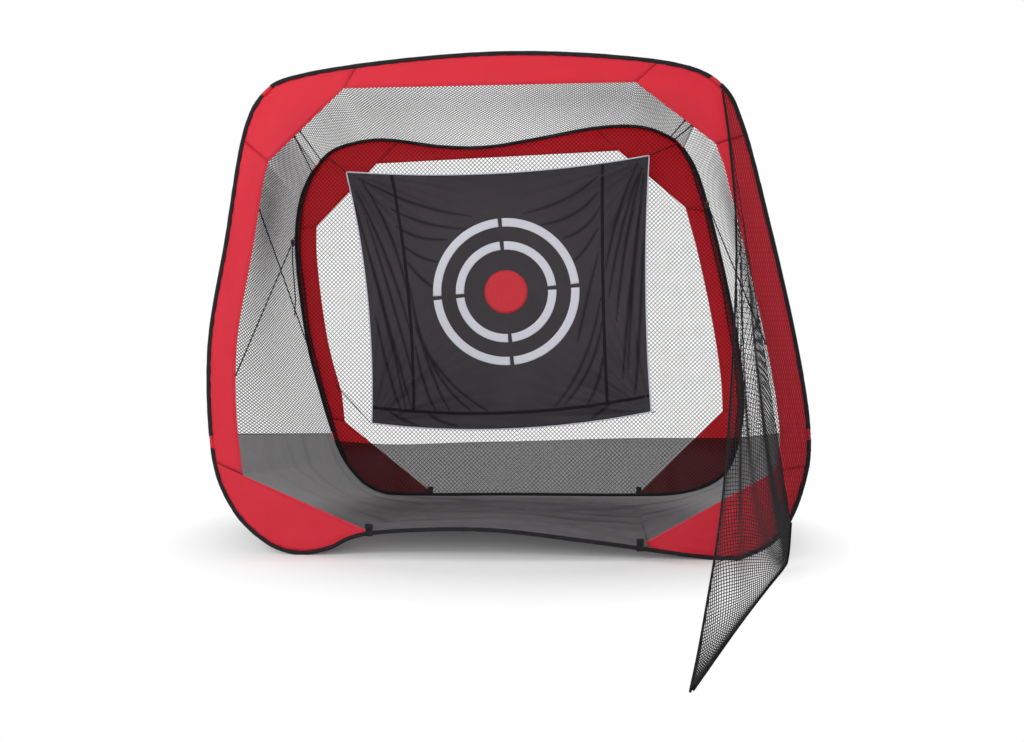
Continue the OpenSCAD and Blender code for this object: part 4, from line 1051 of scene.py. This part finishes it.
def sheet_relief(p, creases=False):
    """How far the sheet stands out towards the rear, or with creases how deep they are, for the painted shade
    in them.
    """
    far = np.linalg.norm(p - bull, axis=-1)
    fade = np.clip((far - FLAT_R) / 0.15, 0, 1)
    y, crease = np.zeros(p.shape[:-1]), np.zeros(p.shape[:-1])

    def dies_out(r, reach):
        return np.exp(-(r / reach) ** 2)

    for k, c in enumerate(target_corner):
        d = p - c
        r, a = np.linalg.norm(d, axis=-1), np.arctan2(d[..., 1], d[..., 0])
        wide, narrow = np.sin(31 * a + 1.7 * k), np.sin(57 * a + 2 * k + 9 * r)
        y += fade * 0.009 * np.sin(12 * a) * dies_out(r, 0.65) * (1 - dies_out(r, 0.16))
        y += (0.0032 * wide * dies_out(r, 0.42) * (1 - dies_out(r, 0.07)) * (0.35 + 0.65 * fade)
              + 0.0016 * narrow * dies_out(r, 0.7) * (1 - dies_out(r, 0.12)))
        # The deepest parts of the corner creases, for the painted shade.
        crease += (0.35 * np.clip(wide, 0, 1) ** 7 * dies_out(r, 0.5)
                   + 0.25 * np.clip(narrow, 0, 1) ** 9 * dies_out(r, 0.8)
                   ) * np.clip(r / 0.05, 0, 1) * (0.3 + 0.7 * fade)
    hung = draped(p)
    y += 0.005 * fade * hung
    y += 0.0018 * np.sin(9 * p[..., 0] + 3 * np.sin(4 * p[..., 1])) * np.sin(7 * p[..., 1] + 1)
    return crease + 0.9 * hung if creases else y


def sheet_point(u, v, forward=0.0):
    p = sheet_place(u, v)
    return np.stack([p[..., 0], TARGET_Y + sheet_relief(p) - forward, p[..., 1]], -1)


def target_cloth():
    material, tree, skin = shader("dark target cloth")
    place = object_place(tree)
    shade = mix(tree, noise(tree, place, 5.0, 4.0), (60, 56, 60), (74, 70, 74))
    # Darker in the creases: painted shade, as this sheet is not see-through.
    coloured(tree, skin, crease_double_and_shade(tree, shade, (24, 21, 26)))
    threads = weave(tree, sewn_uv(tree), 1100)
    height = sums(tree, "MULTIPLY_ADD", noise(tree, place, 26.0, 5.0), 5.0, threads)
    raised(tree, skin, height, 0.5, 0.0006)
    matt(skin, 0.65, 0.25)
    return material


U, V = np.meshgrid(np.linspace(0, 1, 221), np.linspace(0, 1, 181), indexing="ij")
grid = sheet_point(U, V)
sheet = cloth_from_grid("target_cloth", grid, upright_uv(grid))
mark_creases(sheet, sheet_relief(grid[..., (0, 2)], creases=True))
thicken(sheet, SHEET_T)
sheet.data.materials.append(target_cloth())
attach(sheet, "target")
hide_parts("target_sheet")

# The piping is a pale bias strip over a filler cord, sewn all round.
piping = cord_material("pale piping", (204, 212, 228), (230, 235, 244), 0.02)
rim_u = np.concatenate([np.linspace(0, 1, 120), np.ones(100), np.linspace(1, 0, 120), np.zeros(100)])
rim_v = np.concatenate([np.zeros(120), np.linspace(0, 1, 100), np.ones(120), np.linspace(1, 0, 100)])
keep = np.append(True, np.abs(np.diff(rim_u)) + np.abs(np.diff(rim_v)) > 1e-9)
rim = sheet_point(rim_u[keep][:-1], rim_v[keep][:-1])
tangent = unit(np.roll(rim, -1, 0) - np.roll(rim, 1, 0))
outward = unit(np.cross(tangent, [0, 1, 0]))
outward *= np.sign((outward * (rim - rim.mean(0))).sum(-1, keepdims=True))
turn = np.linspace(0, 2 * math.pi, 10, endpoint=False)
backward = np.broadcast_to([0.0, 1.0, 0.0], outward.shape)
pipe_grid = (rim + outward * 0.0035)[:, None] + PIPING_R * rings(outward, backward, turn)
pipe = cloth_from_grid("target_edge_piping", pipe_grid, paired(run_along(rim)[:, None], turn * PIPING_R),
                       close_across=True, close_along=True)
pipe.data.materials.append(piping)
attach(pipe, "target")
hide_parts("target_piping")

# The tapes are webbing: one down each side, and one across the foot, on top of the others.
FOOT = 0.9375
TAPES = (("left_tape", np.full(90, 0.15), np.linspace(0, FOOT, 90), 0.0016),
         ("right_tape", np.full(90, 0.85), np.linspace(0, FOOT, 90), 0.0016),
         ("foot_tape", np.linspace(0, 1, 120), np.full(120, FOOT), 0.0024))
for name, us, vs, lift in TAPES:
    line = sheet_point(us, vs, lift)
    side = unit(np.cross(unit(np.gradient(line, axis=0)), [0, 1, 0]))
    t = np.linspace(-0.5, 0.5, 5)
    tape_grid = line[:, None] + side[:, None] * (t * TAPE_W)[None, :, None]
    tape_grid[..., 1] = TARGET_Y + sheet_relief(tape_grid[..., (0, 2)]) - lift
    tape = cloth_from_grid(f"target_{name}", tape_grid, paired(run_along(line)[:, None], (t + 0.5) * TAPE_W))
    thicken(tape, TAPE_T)
    tape.data.materials.append(binding_tape)
    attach(tape, "target")
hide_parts("target_tapes")


# ---- The printed bullseye ----
# Two pale rings in four quarters and a red disc, pressed onto the cloth and lying as it lies.
def print_ink(name, colour, pale):
    material, tree, skin = shader(name)
    uv = sewn_uv(tree)
    coloured(tree, skin, mix(tree, noise(tree, uv, 60.0, 5.0), colour, pale))
    raised(tree, skin, weave(tree, uv, 1100), 0.3, 0.0004)
    matt(skin, 0.6, 0.25)
    return material


def printed_patch(name, r0, r1, a0, a1, steps):
    """A sector of a ring, or a whole disc, lying on the sheet's front."""
    a = np.linspace(a0, a1, steps)[:, None]
    r = np.linspace(r0, r1, 8)
    x, z = bull[0] + r * np.cos(a), bull[1] + r * np.sin(a)
    y = TARGET_Y + sheet_relief(np.stack([x, z], -1)) - SHEET_T
    grid = np.stack([x, y, z], -1)
    return cloth_from_grid(name, grid, upright_uv(grid))


pale_ink = print_ink("pale print", (224, 227, 240), (238, 240, 248))
red_ink = print_ink("red print", (214, 46, 58), (228, 60, 72))
prints = []
for ring, r0 in enumerate(RINGS):
    r1 = r0 + RING_W
    half_gap = math.asin(0.010 / ((r0 + r1) / 2))
    for quarter in range(4):
        a0 = math.radians(5 + 90 * quarter) + half_gap
        prints.append(printed_patch(f"ring_{ring}_quarter_{quarter}", r0, r1, a0,
                                    a0 + math.pi / 2 - 2 * half_gap, 48))
        prints[-1].data.materials.append(pale_ink)
disc = printed_patch("red_disc_print", 0, DISC_R, 0, 2 * math.pi, 73)
disc.data.materials.append(red_ink)
for patch in (*prints, disc):
    mend(patch, doubles=True)
    thicken(patch, 0.0003)
    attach(patch, "target")
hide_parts("target_rings")
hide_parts("target_bullseye")

# Corner ties: thin cords from the piping's corners to the rear hoop above, and to the rear net below.
NET_FRONT = DEPTH - 0.003 - 0.0053
tie_to = [cord_finish(22.9), cord_finish(3.62),
          np.array([0.308 * HOOP_W, NET_FRONT, 0.235 * HOOP_H]),
          np.array([-0.412 * HOOP_W, NET_FRONT, 0.3 * HOOP_H])]
for k, end in enumerate(tie_to):
    p = target_corner[k] + unit(target_corner[k] - bull) * 0.009
    start = np.array([p[0], TARGET_Y + 0.0005, p[1]])
    tie = taut_cord(f"target_tie_{k}", start, end,
                    radius=0.0024)
    if k == 0:
        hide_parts("target_ties")


# ---- The wing ----
# A loose triangle of the same netting is hinged by its fold in front of the right band. A thick
# edge cord runs down its free edge and another along its hem, to the tip that is pegged down.
WING_REACH, EDGE_CORD = 1.440, 0.004
GROUND = EDGE_CORD + 0.001
wing_front = -(SLEEVE_T / 2 + 0.009)
wing_top = np.array([0.36 * HOOP_W, wing_front, 0.925 * HOOP_H])
wing_foot = np.array([0.477 * HOOP_W, wing_front, 0.078 * HOOP_H])
wing_tip = np.array([0.242 * HOOP_W, -WING_REACH, GROUND])
free_edge = np.array([wing_top, (0.3725 * HOOP_W, -0.028 * WING_REACH, 0.8 * HOOP_H),
                      (0.381 * HOOP_W, -0.056 * WING_REACH, 0.627 * HOOP_H),
                      (0.3625 * HOOP_W, -0.188 * WING_REACH, 0.3635 * HOOP_H),
                      (0.3255 * HOOP_W, -0.444 * WING_REACH, 0.167 * HOOP_H),
                      (0.272 * HOOP_W, -0.8 * WING_REACH, 0.0455 * HOOP_H), wing_tip])
hem = np.array([wing_foot, (0.465 * HOOP_W, -0.07 * WING_REACH, 0.021 * HOOP_H),
                (0.4475 * HOOP_W, -0.126 * WING_REACH, GROUND),
                (0.345 * HOOP_W, -0.55 * WING_REACH, GROUND), wing_tip])


def wing_point(u, v):
    """A point of the wing at shares u down its fold and v out to its free edge."""
    high = wing_top * (1 - u)[..., None] + wing_foot * u[..., None]
    out = smooth_run(free_edge, u.reshape(-1)).reshape(*u.shape, 3)
    low = smooth_run(hem, v.reshape(-1)).reshape(*v.shape, 3)
    low[..., 0] -= (1 - v) * EDGE_CORD
    plain = high * (1 - v)[..., None] + out * v[..., None]
    settle = (u ** 6)[..., None]
    plain = plain * (1 - settle) + low * settle
    loose = np.sin(math.pi * v)
    fold = 0.009 * loose * np.sin(math.pi * u) * np.cos(4 * math.pi * v)
    gather = 0.005 * loose * np.sin(math.pi * u) ** 0.5 * np.sin(26 * v + 5 * u)
    plain[..., 0] -= fold + gather
    plain[..., 2] = np.maximum(plain[..., 2], GROUND + EDGE_CORD + 0.0013)
    return plain


WING_CELL = 0.0118
u = np.linspace(0.03, 1, 157)
width = np.linalg.norm(wing_point(u, np.ones(157)) - wing_point(u, np.zeros(157)), axis=-1)
U, wide = np.meshgrid(u, np.arange(0, width.max(), WING_CELL), indexing="ij")
wing_net = net_over("wing_netting", wing_point(U, np.minimum(wide / width[:, None], 0.997)), 0.00118)
wing_net.data.materials.append(black_twine)
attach(wing_net, "wing")
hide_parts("wing_net")
edge_line = smooth_run(free_edge, np.linspace(0.02, 0.995, 120)) - np.array([EDGE_CORD - 0.001, 0, 0])
edge = cord_tube("wing_edge_rope", edge_line, 0.0036, 8)
hem_line = smooth_run(hem, np.linspace(0, 0.985, 110))
hem_line[:, 2] = np.maximum(hem_line[:, 2], GROUND)
hem_rope = cord_tube("wing_hem_rope", hem_line, 0.0036, 8)
for rope, stands_for in ((edge, "wing_edge_cord"), (hem_rope, "wing_hem_cord")):
    rope.data.materials.append(braided_cord)
    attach(rope, "wing")
    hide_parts(stands_for)

# The gore is the strip of netting between the wing's fold and the hoop, gathered upright over the
# right band.
s = np.linspace(3.4, 8.3, 60)
gore_rim = np.concatenate([front.inside(s, 0.002), [wing_foot[[0, 2]], wing_top[[0, 2]]]])
gore = clipped_net("wing_gore_netting", gore_rim, -SLEEVE_T / 2 - 0.0012, 0.0006, (0.0044, 0.019))
gore.data.materials.append(black_twine)
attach(gore, "front_frame")
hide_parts("wing_gore")
fold_line = np.linspace(0, 1, 40)[:, None] * (wing_foot - wing_top) + wing_top
fold_line[:, 1] = -SLEEVE_T / 2 - 0.0022
fold_rope = cord_tube("wing_fold_seam", fold_line, 0.0014, 6)
fold_rope.data.materials.append(braided_cord)
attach(fold_rope, "front_frame")


# ---- Peg loops ----
# A short length of webbing is folded into an eye for a ground peg, and its foot is sewn to the
# binding: two on the front hoop and two on the rear.
EYE_R, EYE_W = 0.009, 0.028
for place, hoop, stations, towards in (("front", front, (14, 11.64), -1), ("rear", rear, (13.75, 11.86), 1)):
    for k, s in enumerate(stations):
        x, z = hoop.inside(s, SLEEVE_W / 2)
        eye_y, eye_z = hoop.y + towards * (SLEEVE_T / 2 + 0.0045), z + SLEEVE_W / 2 + 0.022
        tab_y = hoop.y + towards * (SLEEVE_T / 2 + 0.001)
        a = np.linspace(math.pi * 1.5 - 0.5, -math.pi / 2 + 0.5, 34)
        circle = np.stack([np.full(34, x), eye_y + towards * EYE_R * np.cos(a),
                           eye_z + EYE_R * np.sin(a)], -1)
        foot = np.array([[x, tab_y, z - SLEEVE_W / 2 - 0.001 + 0.004 * i] for i in range(6)])
        starts_near = abs(circle[0][1] - tab_y) <= abs(circle[-1][1] - tab_y)
        path = np.concatenate([foot, circle if starts_near else circle[::-1]])
        eye = webbing_strip(f"{place}_peg_eye_{k}", path, (1, 0, 0), EYE_W, 0.0018)
        eye.data.materials.append(binding_tape)
        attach(eye, f"{place}_frame")
        if k == 0:
            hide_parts(f"{place}_peg_loops")


# ---- The ground and the light ----
# A pale seamless floor under soft light from above and the front left. Far from the net the floor
# glows for the camera, so it runs on into the white behind it without a line.
bpy.ops.mesh.primitive_plane_add(size=60, location=(0, 10, 0))
ground = bpy.context.object
ground.name = "pale_ground"
bpy.ops.object.transform_apply(location=True, rotation=True, scale=True)
material, tree, skin = shader("pale ground")
skin.inputs["Base Color"].default_value = (0.9, 0.9, 0.905, 1)
matt(skin, 0.95, 0.0)
seen = tree.nodes.new("ShaderNodeLightPath").outputs["Is Camera Ray"]
place = object_place(tree)
oval = node(tree, "ShaderNodeVectorMath", {"operation": "MULTIPLY"}, i0=place, i1=(0.8, 1.0, 1.0))
away = node(tree, "ShaderNodeVectorMath", {"operation": "DISTANCE"}, i0=oval.outputs["Vector"],
            i1=(0.0, 0.5, 0.0))
rise = node(tree, "ShaderNodeMapRange", Value=away.outputs["Value"], From_Min=0.76, From_Max=1.2)
glow = node(tree, "ShaderNodeEmission", Strength=1.0)
both = node(tree, "ShaderNodeMixShader", i0=sums(tree, "MULTIPLY", seen, rise.outputs[0]),
            i1=skin.outputs[0], i2=glow.outputs[0])
tree.links.new(both.outputs[0], tree.nodes["Material Output"].inputs[0])
ground.data.materials.append(material)

world = bpy.data.worlds.new("soft room")
bpy.context.scene.world = world
world.use_nodes = True
tree = world.node_tree
seen = tree.nodes.new("ShaderNodeLightPath").outputs["Is Camera Ray"]
ROOM_LIGHT = 0.46
strength = sums(tree, "MULTIPLY_ADD", seen, 1 - ROOM_LIGHT, ROOM_LIGHT)
tree.links.new(strength, tree.nodes["Background"].inputs["Strength"])
tree.nodes["Background"].inputs["Color"].default_value = (1, 1, 1, 1)


def softbox(name, place, aim, size, power):
    """A round lamp at a place, turned towards its aim."""
    data = bpy.data.lights.new(name, "AREA")
    data.shape, data.size, data.energy = "DISK", size, power
    lamp = bpy.data.objects.new(name, data)
    bpy.context.scene.collection.objects.link(lamp)
    lamp.location = place
    direction = np.array(aim) - np.array(place)
    yaw = math.atan2(direction[1], direction[0])
    tilt = math.acos(direction[2] / np.linalg.norm(direction))
    lamp.rotation_euler = (0, tilt + math.pi, yaw)


softbox("key softbox", (-3.2, -3.0, 3.4), (0, 0.4, 0.9), 2.6, 90)
softbox("top softbox", (0.3, 2.2, 4.4), (0, 0.2, 0.0), 3.2, 85)
softbox("front softbox", (-0.3, -5.2, 1.9), (0.1, 1.4, 0.9), 2.6, 95)

bpy.context.scene.view_settings.view_transform = "Standard"
